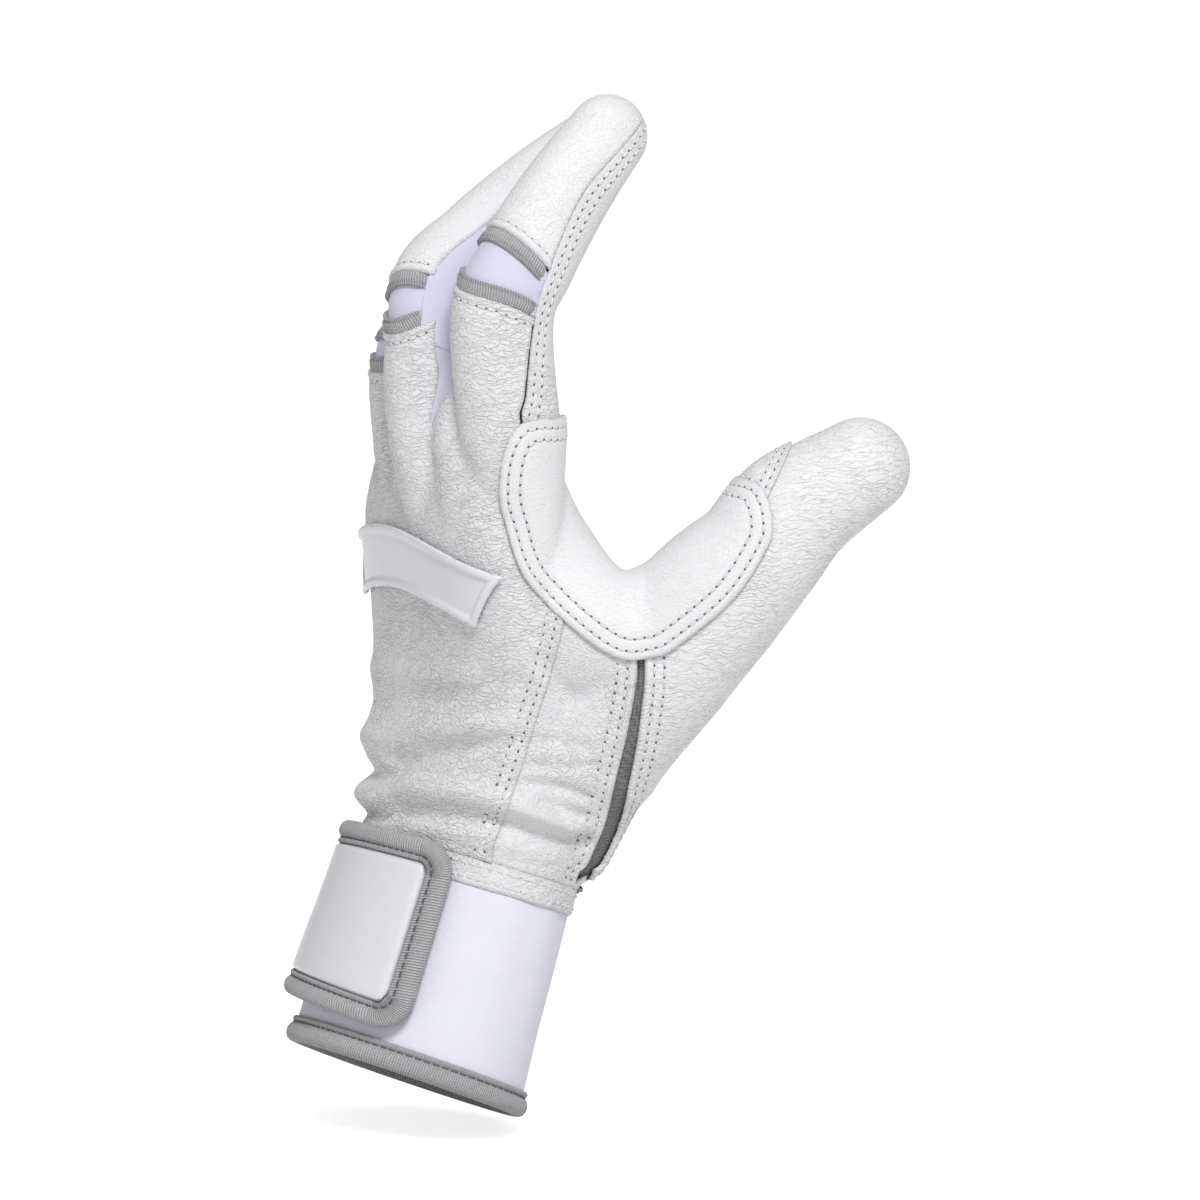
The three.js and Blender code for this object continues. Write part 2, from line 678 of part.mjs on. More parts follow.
// The back of one finger, down to its side seams, which move to the palm side at the tip
function fingerBack(finger, shift) {
  const { body } = finger;
  const first = body.frame(2 / body.count);
  const line = [first.at.clone().addScaledVector(first.along, -OVERRUN / 2)];
  for (let k = 2; k <= body.count; k += 1) {
    const frame = body.frame(k / body.count);
    const drop = SEAM_DROP * (k - 2) / (body.count - 2) + shift;
    line.push(frame.at.clone().addScaledVector(frame.thick, -drop));
  }
  const last = body.frame(1);
  line.push(line[line.length - 1].clone().addScaledVector(last.along, OVERRUN));
  line[0].addScaledVector(first.thick, -shift);
  const up = line.map((point) => [point.x, point.z]);
  const backLast = line[line.length - 1].clone().addScaledVector(last.thick, OVERRUN);
  const backFirst = line[0].clone().addScaledVector(first.thick, OVERRUN);
  up.push([backLast.x, backLast.z], [backFirst.x, backFirst.z]);
  const edge = lineOf(finger) + shift;
  const low = finger.row < -1 ? OVERRUN : edge;
  const high = finger.row > 1 ? OVERRUN : edge;
  return prism(up, FINGER_PLANE, -finger.y - high, -finger.y + low);
}

// The spandex side of a finger that faces its neighbour: side is -1 for the thumb side, 1 for the other
function fingerSide(finger, side, grow) {
  const edge = lineOf(finger) + SEAM_GAP - grow;
  const from = side > 0 ? -finger.y - OVERRUN : -finger.y + edge;
  const to = side > 0 ? -finger.y - edge : -finger.y + OVERRUN;
  return prism([[-REACH, -REACH], [REACH, -REACH], [REACH, REACH], [-REACH, REACH]], FINGER_PLANE, from, to);
}

function fingerParts(finger) {
  const wall = fingerSkin(finger, -LEATHER, 0);
  const distal = wall.intersect(above(finger, FRONT_OPEN_ANGLE));
  const sides = [-1, 1].filter((side) => Math.abs(finger.row + side) < 2);
  let front = distal.subtract(fingerBack(finger, SEAM_GAP));
  sides.forEach((side) => {
    front = front.subtract(fingerSide(finger, side, SEAM_GAP));
  });
  const roll = fingerSkin(finger, -LEATHER, TAPE_LIFT).intersect(fingerBack(finger, 0));
  const wedge = (from, to) => creasePrism(finger.crease, from, to, finger.y, finger.half);
  const sheet = fingerSkin(finger, -LEATHER - SPANDEX, -LEATHER / 2).intersect(fingerBack(finger, 0));
  const tapeFrom = TAPE_OPEN_ANGLE + 0.6;
  const tapeTo = LEATHER_OPEN_ANGLE - 0.8;
  const cap = wall.intersect(above(finger, LEATHER_OPEN_ANGLE)).intersect(fingerBack(finger, 0));
  const parts = [
    [`${finger.name}_cap`, cap, leather],
    [`${finger.name}_front`, front, leather],
    [`${finger.name}_upper_tape`, roll.intersect(wedge(tapeFrom, tapeTo)), tape],
    [`${finger.name}_lower_tape`, roll.intersect(wedge(-tapeTo, -tapeFrom)), tape],
    [`${finger.name}_knuckle_gusset`, sheet.intersect(wedge(-TAPE_OPEN_ANGLE, TAPE_OPEN_ANGLE)), spandex],
  ];
  sides.forEach((side) => {
    const name = side > 0 ? 'outer' : 'inner';
    parts.push([`${finger.name}_${name}_side`, distal.intersect(fingerSide(finger, side, 0)), spandex]);
  });
  return parts;
}

// Thumb parts

// Plane across the thumb at its joint: thick, along and wide
function thumbBasis(frame) {
  const wide = frame.thick.clone().cross(frame.along);
  const basis = new THREE.Matrix4().makeBasis(frame.thick, frame.along, wide);
  return basis.setPosition(frame.at);
}

function thumbPrism(from) {
  const basis = thumbBasis(thumb.frame(6 / 7));
  const points = [[-OVERRUN, from], [OVERRUN, from], [OVERRUN, OVERRUN], [-OVERRUN, OVERRUN]];
  return prism(points, basis, -OVERRUN, OVERRUN);
}

function thumbSkin(bottom, top) {
  return tubeSolid(thumb, THUMB_SIDES, 1, top).subtract(tubeSolid(thumb, THUMB_SIDES, 1, bottom));
}

function thumbTip() {
  return thumbSkin(-LEATHER, 0).intersect(thumbPrism(SEAM_GAP / 2));
}

// Inner strip, drawn on a plane through the thumb: shares of the tip length and of the half width
const thumbPatchShares = [[0.05, 0.45], [0.05, 1.2], [1.0, 1.2], [1.0, 0.72], [0.72, 0.5]];

function thumbPatch() {
  const frame = thumb.frame(6 / 7);
  const basis = thumbBasis(frame);
  const reach = frame.at.distanceTo(thumb.frame(1).at);
  const half = thumb.between('thick', 6 / 7);
  const outline = thumbPatchShares.map(([along, aside]) => [aside * half, along * reach]);
  const room = prism(outline, basis, -OVERRUN, OVERRUN);
  return thumbSkin(SEAM_GAP, SEAM_GAP + LEATHER).intersect(room).intersect(thumbPrism(SEAM_GAP));
}

// Cuff parts

function cuffTape() {
  const slot = SLEEVE_WALL / 2 + SEAM_GAP;
  const half = slot + TAPE_WALL;
  const centre = -SLEEVE_WALL / 2;
  const section = [[CUFF_TAPE_WIDTH, half * 0.9], [CUFF_TAPE_WIDTH * 0.75, half * 0.72],
    [CUFF_TAPE_WIDTH * 0.6, half * 1.1], [CUFF_TAPE_WIDTH * 0.2, half * 1.05], [0, half * 0.6]];
  const profile = [...section];
  for (let i = section.length - 1; i >= 0; i -= 1) {
    profile.push([section[i][0], -section[i][1]]);
  }
  profile.push([CUFF_TAPE_WIDTH, -slot], [TAPE_WALL, -slot], [TAPE_WALL, slot], [CUFF_TAPE_WIDTH, slot]);
  const rings = [];
  for (let i = 0; i < CUFF_SIDES; i += 1) {
    const angle = 360 * i / CUFF_SIDES;
    rings.push(profile.map(([height, lift]) => cuffPoint(angle, height - mouthDrop(angle), centre + lift)));
  }
  return solidOf(closedLoft(rings));
}

function cuffSleeve() {
  const rings = [];
  for (let i = 0; i < CUFF_SIDES; i += 1) {
    const angle = 360 * i / CUFF_SIDES;
    const low = TAPE_WALL + SEAM_GAP - mouthDrop(angle);
    const outline = [[low, 0], [CUFF_LENGTH, 0], [CUFF_LENGTH, -SLEEVE_WALL], [low, -SLEEVE_WALL]];
    rings.push(outline.map(([height, lift]) => cuffPoint(angle, height, lift)));
  }
  return solidOf(closedLoft(rings));
}

function wristHem() {
  return cuffRing(CUFF_LENGTH + SEAM_GAP, WRIST_HEIGHT - SEAM_GAP, -LEATHER, 0);
}

// Strap parts, each a curved plate round the cuff. The strap widens to its free end.

const STRAP_BASE = SEAM_GAP * 3 + LOOP_PILE + HOOK_TAB;
const STRAP_SKIN = STRAP_BASE + BAND_WALL + SEAM_GAP;
const DEGREE_ARC = Math.PI * (CUFF_MOUTH_THICK + CUFF_MOUTH_WIDE) / 720;

function strapWidth(angle) {
  const flare = (angle - STRAP_FLARE_ANGLE) / (STRAP_END_ANGLE - STRAP_FLARE_ANGLE);
  const share = THREE.MathUtils.clamp(flare, 0, 1);
  return STRAP_ROOT_WIDTH + (STRAP_END_WIDTH - STRAP_ROOT_WIDTH) * share;
}

// Cross lines of a plate set in from the strap's outline, with round corners at its free end
function strapRows(from, inset, corner, steps) {
  const last = STRAP_END_ANGLE - inset / DEGREE_ARC;
  const turn = last - corner / DEGREE_ARC;
  const rows = [];
  const row = (angle, cut) => {
    const low = STRAP_TOP - strapWidth(angle) + inset + cut;
    rows.push([angle, low, STRAP_TOP - inset - cut]);
  };
  for (let i = 0; i <= steps; i += 1) {
    row(from + (turn - from) * i / steps, 0);
  }
  for (let i = 1; i <= 4; i += 1) {
    const swing = Math.PI / 2 * i / 4;
    row(turn + corner / DEGREE_ARC * Math.sin(swing), corner * (1 - Math.cos(swing)) * 0.98);
  }
  return rows;
}

function strapPlate(from, inset, corner, bottom, top) {
  return solidOf(plate(cuffPoint, strapRows(from, inset, corner, 12), 1, bottom, top));
}

function strapBand() {
  const inset = TAPE_WALL + SEAM_GAP;
  return strapPlate(STRAP_START_ANGLE, inset, STRAP_CORNER, STRAP_BASE, STRAP_BASE + BAND_WALL);
}

function strapBadge() {
  const from = STRAP_END_ANGLE - (STRAP_TAPE_WIDTH + BADGE_LENGTH) / DEGREE_ARC;
  const inset = STRAP_TAPE_WIDTH + SEAM_GAP;
  return strapPlate(from, inset, STRAP_CORNER / 2, STRAP_SKIN, STRAP_SKIN + BADGE_WALL);
}

function strapHook() {
  const from = STRAP_END_ANGLE - (STRAP_TAPE_WIDTH + BADGE_LENGTH / 2) / DEGREE_ARC;
  const bottom = SEAM_GAP * 2 + LOOP_PILE;
  return strapPlate(from, STRAP_TAPE_WIDTH + SEAM_GAP, STRAP_CORNER / 2, bottom, bottom + HOOK_TAB);
}

function cuffLoop() {
  const from = STRAP_END_ANGLE - (STRAP_TAPE_WIDTH + BADGE_LENGTH) / DEGREE_ARC;
  return strapPlate(from, STRAP_TAPE_WIDTH + SEAM_GAP, STRAP_CORNER / 2, SEAM_GAP, SEAM_GAP + LOOP_PILE);
}

function strapAnchor() {
  const rows = [0, 1, 2, 3].map((i) => {
    const angle = STRAP_START_ANGLE + ANCHOR_LENGTH / DEGREE_ARC * i / 3;
    const inset = STRAP_TAPE_WIDTH + SEAM_GAP;
    return [angle, STRAP_TOP - STRAP_ROOT_WIDTH + inset, STRAP_TOP - inset];
  });
  return solidOf(plate(cuffPoint, rows, 2, SEAM_GAP, STRAP_BASE - SEAM_GAP));
}

// The strap's ribbed binding: a channel folded over the band, round both edges and the free end
function strapTape() {
  const slot = BAND_WALL / 2 + SEAM_GAP;
  const half = slot + TAPE_WALL - SEAM_GAP;
  const centre = STRAP_BASE + BAND_WALL / 2;
  const wide = STRAP_TAPE_WIDTH;
  const section = [[0, half * 0.55], [wide * 0.12, half], [wide * 0.72, half * 1.05], [wide, half * 0.8]];
  const profile = [...section, [wide, slot], [TAPE_WALL, slot], [TAPE_WALL, -slot], [wide, -slot]];
  for (let i = section.length - 1; i >= 0; i -= 1) {
    profile.push([section[i][0], -section[i][1]]);
  }
  const path = [];
  const corner = STRAP_CORNER + TAPE_WALL;
  const turn = STRAP_END_ANGLE - corner / DEGREE_ARC;
  const steps = 11;
  const low = (angle) => STRAP_TOP - strapWidth(angle);
  for (let i = 0; i <= steps; i += 1) {
    const angle = STRAP_START_ANGLE + (turn - STRAP_START_ANGLE) * i / steps;
    path.push([angle, low(angle), 0]);
  }
  for (let i = 1; i <= 4; i += 1) {
    const swing = 90 * i / 4;
    const angle = turn + corner / DEGREE_ARC * Math.sin(rad(swing));
    path.push([angle, low(angle) + corner * (1 - Math.cos(rad(swing))), swing]);
  }
  const back = path.map(([angle, height, swing]) => {
    const rise = height - low(angle);
    return [angle, STRAP_TOP - rise, 180 - swing];
  });
  const ring = ([angle, height, swing]) => profile.map(([inward, lift]) => {
    const shift = inward * Math.sin(rad(swing)) / DEGREE_ARC;
    return cuffPoint(angle - shift, height + inward * Math.cos(rad(swing)), centre + lift);
  });
  const rings = [...path, ...back.reverse()].map(ring);
  const corners = [5, 6, 0, 11];
  const middle = (points) => {
    const sum = new THREE.Vector3();
    corners.forEach((k) => sum.add(points[k]));
    return sum.multiplyScalar(1 / corners.length);
  };
  return solidOf(loft(rings, middle(rings[0]), middle(rings[rings.length - 1])));
}

// Assembly

const leather = new THREE.MeshStandardMaterial({ color: 0xf0f0ef, roughness: 0.62, metalness: 0 });
const spandex = new THREE.MeshStandardMaterial({ color: 0xe2e2f4, roughness: 0.78, metalness: 0 });
const tape = new THREE.MeshStandardMaterial({ color: 0xa9a9ac, roughness: 0.85, metalness: 0 });
const moulded = new THREE.MeshStandardMaterial({ color: 0xebe9e6, roughness: 0.38, metalness: 0 });
const meshCloth = new THREE.MeshStandardMaterial({ color: 0x6f7074, roughness: 0.9, metalness: 0 });
const pile = new THREE.MeshStandardMaterial({ color: 0xdcdce2, roughness: 0.95, metalness: 0 });

const MOUTH_SHIFT = CUFF_AXIS.clone().multiplyScalar(CUFF_DROP);
const group = new THREE.Group();
function put(name, solid, material) {
  const placed = mainBody(solid.translate(MOUTH_SHIFT.toArray()));
  const mesh = new THREE.Mesh(geometryOf(placed), material);
  mesh.name = name;
  group.add(mesh);
}

put('back_panel', backPanel(), leather);
put('palm_panel', palmPanel(), leather);
put('radial_side_panel', sidePanel(), leather);
put('thumb_shell', thumbShell(), leather);
put('thumb_tip', thumbTip(), leather);
put('thumb_patch', thumbPatch(), leather);
put('web_patch', webPatch(), leather);
put('slit_gusset', slitGusset(), meshCloth);
put('name_band', nameBand(), moulded);
put('wrist_hem', wristHem(), leather);
put('cuff_sleeve', cuffSleeve(), spandex);
put('cuff_tape', cuffTape(), tape);
put('cuff_loop_patch', cuffLoop(), pile);
put('strap_anchor', strapAnchor(), tape);
put('strap_band', strapBand(), spandex);
put('strap_tape', strapTape(), tape);
put('strap_hook_tab', strapHook(), pile);
put('strap_badge', strapBadge(), moulded);
fingers.slice(0, 3).forEach((finger, i) => {
  put(`fork_${finger.name}_${fingers[i + 1].name}`, skin.intersect(forks[i]), spandex);
});
fingers.forEach((finger) => {
  fingerParts(finger).forEach(([name, solid, material]) => put(name, solid, material));
});

// Where the hinges lie: the crease under each knuckle and thumb joint, and the strap's sewn end
const thumbJoint = thumb.frame(6 / 7);
const thumbHalf = thumb.between('thick', 6 / 7);
const thumbCrease = thumbJoint.at.clone().addScaledVector(thumbJoint.thick, thumbHalf + CREASE_OUT);
group.userData.hinges = {
  thumb_bend: { at: thumbCrease, axis: thumbJoint.wide },
  strap_peel: { at: cuffPoint(STRAP_START_ANGLE, STRAP_TOP / 2, STRAP_BASE + BAND_WALL), axis: CUFF_AXIS },
};
fingers.forEach((finger) => {
  group.userData.hinges[`${finger.name}_bend`] = { at: finger.crease.at, axis: Y_AXIS };
});
Object.values(group.userData.hinges).forEach((hinge) => hinge.at.add(MOUTH_SHIFT));

export default group;
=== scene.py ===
"""Batting glove for the left hand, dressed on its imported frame: leather, cloth, bindings and seams."""

import logging
import math
from dataclasses import dataclass, field
from enum import Enum
from typing import Callable, Dict, Iterable, List, Optional, Sequence, Tuple

import bmesh
import bpy
import numpy as np
from mathutils import Matrix, Vector
from mathutils.kdtree import KDTree


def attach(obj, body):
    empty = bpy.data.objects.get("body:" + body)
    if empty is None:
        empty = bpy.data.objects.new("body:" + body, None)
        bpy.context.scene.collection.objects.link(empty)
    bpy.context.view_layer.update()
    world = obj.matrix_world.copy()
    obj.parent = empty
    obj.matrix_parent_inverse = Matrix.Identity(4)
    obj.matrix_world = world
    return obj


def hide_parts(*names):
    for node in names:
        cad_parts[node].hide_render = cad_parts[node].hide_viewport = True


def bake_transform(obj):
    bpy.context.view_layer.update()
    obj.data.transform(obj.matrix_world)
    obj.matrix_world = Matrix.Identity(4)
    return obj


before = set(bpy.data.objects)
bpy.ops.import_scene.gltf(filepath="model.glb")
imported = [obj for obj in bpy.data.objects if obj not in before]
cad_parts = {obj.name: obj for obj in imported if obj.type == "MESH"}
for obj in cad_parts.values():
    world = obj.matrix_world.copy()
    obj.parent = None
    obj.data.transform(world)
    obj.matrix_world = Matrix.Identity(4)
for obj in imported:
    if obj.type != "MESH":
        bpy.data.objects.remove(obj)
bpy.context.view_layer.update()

MM = 0.001
Array = np.ndarray
BMesh = bmesh.types.BMesh
Mesh = bpy.types.Mesh
Material = bpy.types.Material
Tree = bpy.types.NodeTree
Socket = bpy.types.NodeSocket
Colour = Tuple[float, float, float]
Points = Array
Field = Callable[[Points], Array]
Lift = Callable[[Array, Array], Array]
Outline = Sequence[Tuple[float, float]]

logging.basicConfig(level=logging.INFO, format="%(levelname)s %(message)s")
LOG = logging.getLogger("glove")


class Body(Enum):
    """The bodies that pieces ride on."""

    GLOVE = "glove"
    INDEX = "index_end"
    MIDDLE = "middle_end"
    RING = "ring_end"
    LITTLE = "little_end"
    THUMB = "thumb_end"
    STRAP = "strap"


class Slot(Enum):
    """The record's material slots."""

    LEATHER = "leather"
    SPANDEX = "spandex"
    BINDING = "binding"
    MOULDED = "moulded"
    MESH = "mesh"
    PILE = "pile"


class Edge(Enum):
    """How the edge that a cut leaves is finished."""

    PLAIN = 0
    BUTT = 1
    LAPPED = 2
    ROLLED = 3
    RAW = 4
    TUCKED = 5


FINISHED = (Edge.BUTT, Edge.LAPPED, Edge.ROLLED, Edge.RAW)


# Basis of the picture plane: across to the palm side, up, and out towards the thumb side
SIDE_TURN = 30.0
ACROSS = np.array([math.cos(math.radians(SIDE_TURN)), -math.sin(math.radians(SIDE_TURN)), 0.0])
OUT = np.array([-math.sin(math.radians(SIDE_TURN)), -math.cos(math.radians(SIDE_TURN)), 0.0])
UP = np.array([0.0, 0.0, 1.0])

# Shapes are drawn from a point on the cuff's axis above its mouth, then moved so that the mouth's
# centre is the origin
CUFF_LEAN = 18.5
CUFF_DROP = 6.2
CUFF_AXIS = np.array([math.sin(math.radians(CUFF_LEAN)), 0.0, math.cos(math.radians(CUFF_LEAN))])
CUFF_BACK = np.array([-CUFF_AXIS[2], 0.0, CUFF_AXIS[0]])
THUMB_WARD = np.array([0.0, -1.0, 0.0])
FRAME_SHIFT = CUFF_AXIS * CUFF_DROP

# Where the joints lie along their tubes, and how far a sheet bends on each side of one
KNUCKLE_SHARE = 2 / 6
THUMB_JOINT_SHARE = 6 / 7
BEND_REACH = 9.0
THUMB_EDGE = 12.0

# The palm's and the thumb's places and half sizes, in millimetres
PALM_SET = 14.9 * 1.8
PALM_RISE = 102.0
PALM_HALF = (24.0, 42.0)
THUMB_START = np.array([28.0, -20.8, 53.0])
THUMB_REACH = np.array([54.0, -45.0, 85.3])
THUMB_HALF = (18.0, 15.0)
THUMB_TIP = 18.0 * 0.64
WEB_HALF = (16.0, 13.0)


def side_plane(points: Points) -> Tuple[Array, Array, Array]:
    """Resolves points on the picture plane.

    Args:
        points: places in millimetres, one row each.

    Returns:
        Across, up and out of the picture plane, in millimetres.
    """
    return points @ ACROSS, points @ UP, points @ OUT


def unit(vector: Array) -> Array:
    """Returns the vector, or each row of it, at length one."""
    return vector / np.maximum(np.linalg.norm(vector, axis=-1, keepdims=True), 1e-9)


def smooth_step(value: Array, low: float, high: float) -> Array:
    """Returns 0 below low, 1 above high and a smooth rise between."""
    share = np.clip((value - low) / (high - low), 0.0, 1.0)
    return share * share * (3.0 - 2.0 * share)


def spline(points: Outline, closed: bool = False, steps: int = 8) -> Array:
    """Rounds a polyline through its points.

    Args:
        points: the corners.
        closed: True for a loop.
        steps: points put in for each corner.

    Returns:
        The rounded line's points, one row each.
    """
    given = np.array(points, dtype=float)
    count = len(given)
    rows = []
    for k in range(count if closed else count - 1):
        if closed:
            p0, p1, p2, p3 = (given[(k + j) % count] for j in (-1, 0, 1, 2))
        else:
            p1, p2 = given[k], given[k + 1]
            p0 = given[k - 1] if k > 0 else 2 * p1 - p2
            p3 = given[k + 2] if k + 2 < count else 2 * p2 - p1
        for j in range(steps):
            t = j / steps
            first, second, third = p2 - p0, 2 * p0 - 5 * p1 + 4 * p2 - p3, 3 * p1 - p0 - 3 * p2 + p3
            rows.append(0.5 * (2 * p1 + first * t + second * t**2 + third * t**3))
    if not closed:
        rows.append(given[-1])
    return np.array(rows)


def line_distance(across: Array, up: Array, line: Array) -> Array:
    """Returns the distance of flat points from a flat polyline."""
    best = np.full(len(across), 1e9)
    for a, b in zip(line[:-1], line[1:]):
        way = b - a
        share = ((across - a[0]) * way[0] + (up - a[1]) * way[1]) / max(float(way @ way), 1e-9)
        share = np.clip(share, 0.0, 1.0)
        best = np.minimum(best, np.hypot(across - a[0] - share * way[0], up - a[1] - share * way[1]))
    return best


def side_of_line(across: Array, up: Array, line: Array) -> Array:
    """Signed distance from a line that runs upward.

    Args:
        across: first coordinates.
        up: second coordinates.
        line: the polyline, with rising second coordinates.

    Returns:
        Distance, positive where the first coordinate is less than the line's.
    """
    at = np.interp(up, line[:, 1], line[:, 0])
    return np.where(across < at, 1.0, -1.0) * line_distance(across, up, line)


def inside_outline(across: Array, up: Array, loop: Array) -> Array:
    """Signed distance from a closed outline, positive inside it."""
    ring = np.vstack([loop, loop[:1]])
    odd = np.zeros(len(across), dtype=bool)
    for a, b in zip(ring[:-1], ring[1:]):
        crosses = (a[1] > up) != (b[1] > up)
        slope = (b[0] - a[0]) / (b[1] - a[1] if b[1] != a[1] else 1e-9)
        odd ^= crosses & (across < a[0] + slope * (up - a[1]))
    return np.where(odd, 1.0, -1.0) * line_distance(across, up, ring)


def wave(points: Points, scale: float, seed: float) -> Array:
    """Smooth repeatable unevenness between about -1 and 1.

    Args:
        points: places in millimetres.
        scale: size of one swell in millimetres.
        seed: any number; another number gives another pattern.

    Returns:
        One value for each point.
    """
    total = np.zeros(len(points))
    for k in range(7):
        first, second = math.sin(seed + 2.1 * k), math.cos(seed * 1.7 + 1.3 * k)
        along = points @ unit(np.array([first, second, math.sin(seed * 0.6 + 3.7 * k + 1.0)]))
        total += np.sin(along * (2 * math.pi / scale) * (0.62 + 0.13 * k) + seed * 3.1 * (k + 1))
    return total / 3.2


# Mesh helpers


def shaped_object(name: str, shape: BMesh) -> bpy.types.Object:
    """Puts a finished bmesh, given in millimetres, into the scene.

    Args:
        name: the piece's name.
        shape: the mesh, which is freed.

    Returns:
        The new object, at the origin and smooth shaded.
    """
    mesh = bpy.data.meshes.new(name)
    bmesh.ops.translate(shape, vec=Vector(FRAME_SHIFT), verts=shape.verts)
    bmesh.ops.scale(shape, vec=(MM, MM, MM), verts=shape.verts)
    shape.to_mesh(mesh)
    shape.free()
    mesh.polygons.foreach_set("use_smooth", [True] * len(mesh.polygons))
    piece = bpy.data.objects.new(name, mesh)
    bpy.context.scene.collection.objects.link(piece)
    return piece


def loose_mesh(name: str, shape: BMesh) -> Mesh:
    """Returns a bmesh, which is freed, as a mesh that no object uses yet."""
    mesh = bpy.data.meshes.new(name)
    shape.to_mesh(mesh)
    shape.free()
    return mesh


def places(mesh: Mesh) -> Points:
    """Returns a mesh's vertex places as rows."""
    flat = np.empty(len(mesh.vertices) * 3)
    mesh.vertices.foreach_get("co", flat)
    return flat.reshape(-1, 3)


def set_places(mesh: Mesh, points: Points) -> None:
    """Writes a mesh's vertex places."""
    mesh.vertices.foreach_set("co", points.ravel())
    mesh.update()


def shape_places(shape: BMesh) -> Points:
    """Returns a bmesh's vertex places as rows."""
    return np.array([v.co[:] for v in shape.verts]).reshape(-1, 3)


def move_shape(shape: BMesh, points: Points) -> None:
    """Moves a bmesh's vertices to the given rows and refreshes its normals."""
    for vert, point in zip(shape.verts, points):
        vert.co = point
    shape.normal_update()


def push_out(shape: BMesh, heights: Iterable[float]) -> None:
    """Moves a bmesh's vertices along their normals by the given heights and refreshes its normals."""
    for vert, height in zip(shape.verts, heights):
        vert.co += vert.normal * float(height)
    shape.normal_update()


def thicken(piece: bpy.types.Object, wall: float, even: bool = True) -> None:
    """Gives an open piece a wall, in millimetres, inward from its face."""
    solid = piece.modifiers.new("thickness", "SOLIDIFY")
    solid.thickness = wall * MM
    solid.offset = -1.0
    if not even:
        solid.use_even_offset = False


def rounding(share: Array) -> Array:
    """Returns the fall of a quarter-round edge, 1 at its rim and 0 from share 1 on."""
    return 1 - np.sqrt(np.clip(1 - (1 - np.clip(share, 0, 1)) ** 2, 0, 1))


def matrix_of(ways: Sequence[Array], centre: Array) -> Matrix:
    """Returns the matrix that turns and sizes by three ways and moves to a centre."""
    return Matrix([*np.column_stack([*ways, centre]).tolist(), [0, 0, 0, 1]])


def wrapped_grid(
    columns: int,
    rows: int,
    place: Callable[[Array, Array], Points],
    weld: float = 0.02,
    run: float = 1.0,
    width: float = 1.0,
) -> BMesh:
    """A flat grid laid onto a curved surface.

    Args:
        columns: squares along the first direction.
        rows: squares along the second direction.
        place: gives the surface point for two shares from 0 to 1.
        weld: points nearer than this are joined, which closes rings and poles.
        run: length that the first UV direction stands for.
        width: length that the second UV direction stands for.

    Returns:
        The laid grid in millimetres, with a UV map in millimetres.
    """
    shape = bmesh.new()
    bmesh.ops.create_grid(shape, x_segments=columns, y_segments=rows, size=0.5, calc_uvs=True)
    flat = shape_places(shape) + 0.5
    layer = shape.loops.layers.uv.verify()
    for face in shape.faces:
        for loop in face.loops:
            co = loop.vert.co
            loop[layer].uv = ((co.x + 0.5) * run, (co.y + 0.5) * width)
    move_shape(shape, place(flat[:, 0], flat[:, 1]))
    bmesh.ops.remove_doubles(shape, verts=shape.verts, dist=weld)
    bmesh.ops.recalc_face_normals(shape, faces=shape.faces)
    return shape


# The filled hand: oval tubes joined and smoothed, with the folds that the leather makes


@dataclass
class Station:
    """One oval section of a tube."""

    at: Array
    thick: float
    wide: float
    fold: float = 0.0
    turn: float = 0.0
    square: float = 2.0


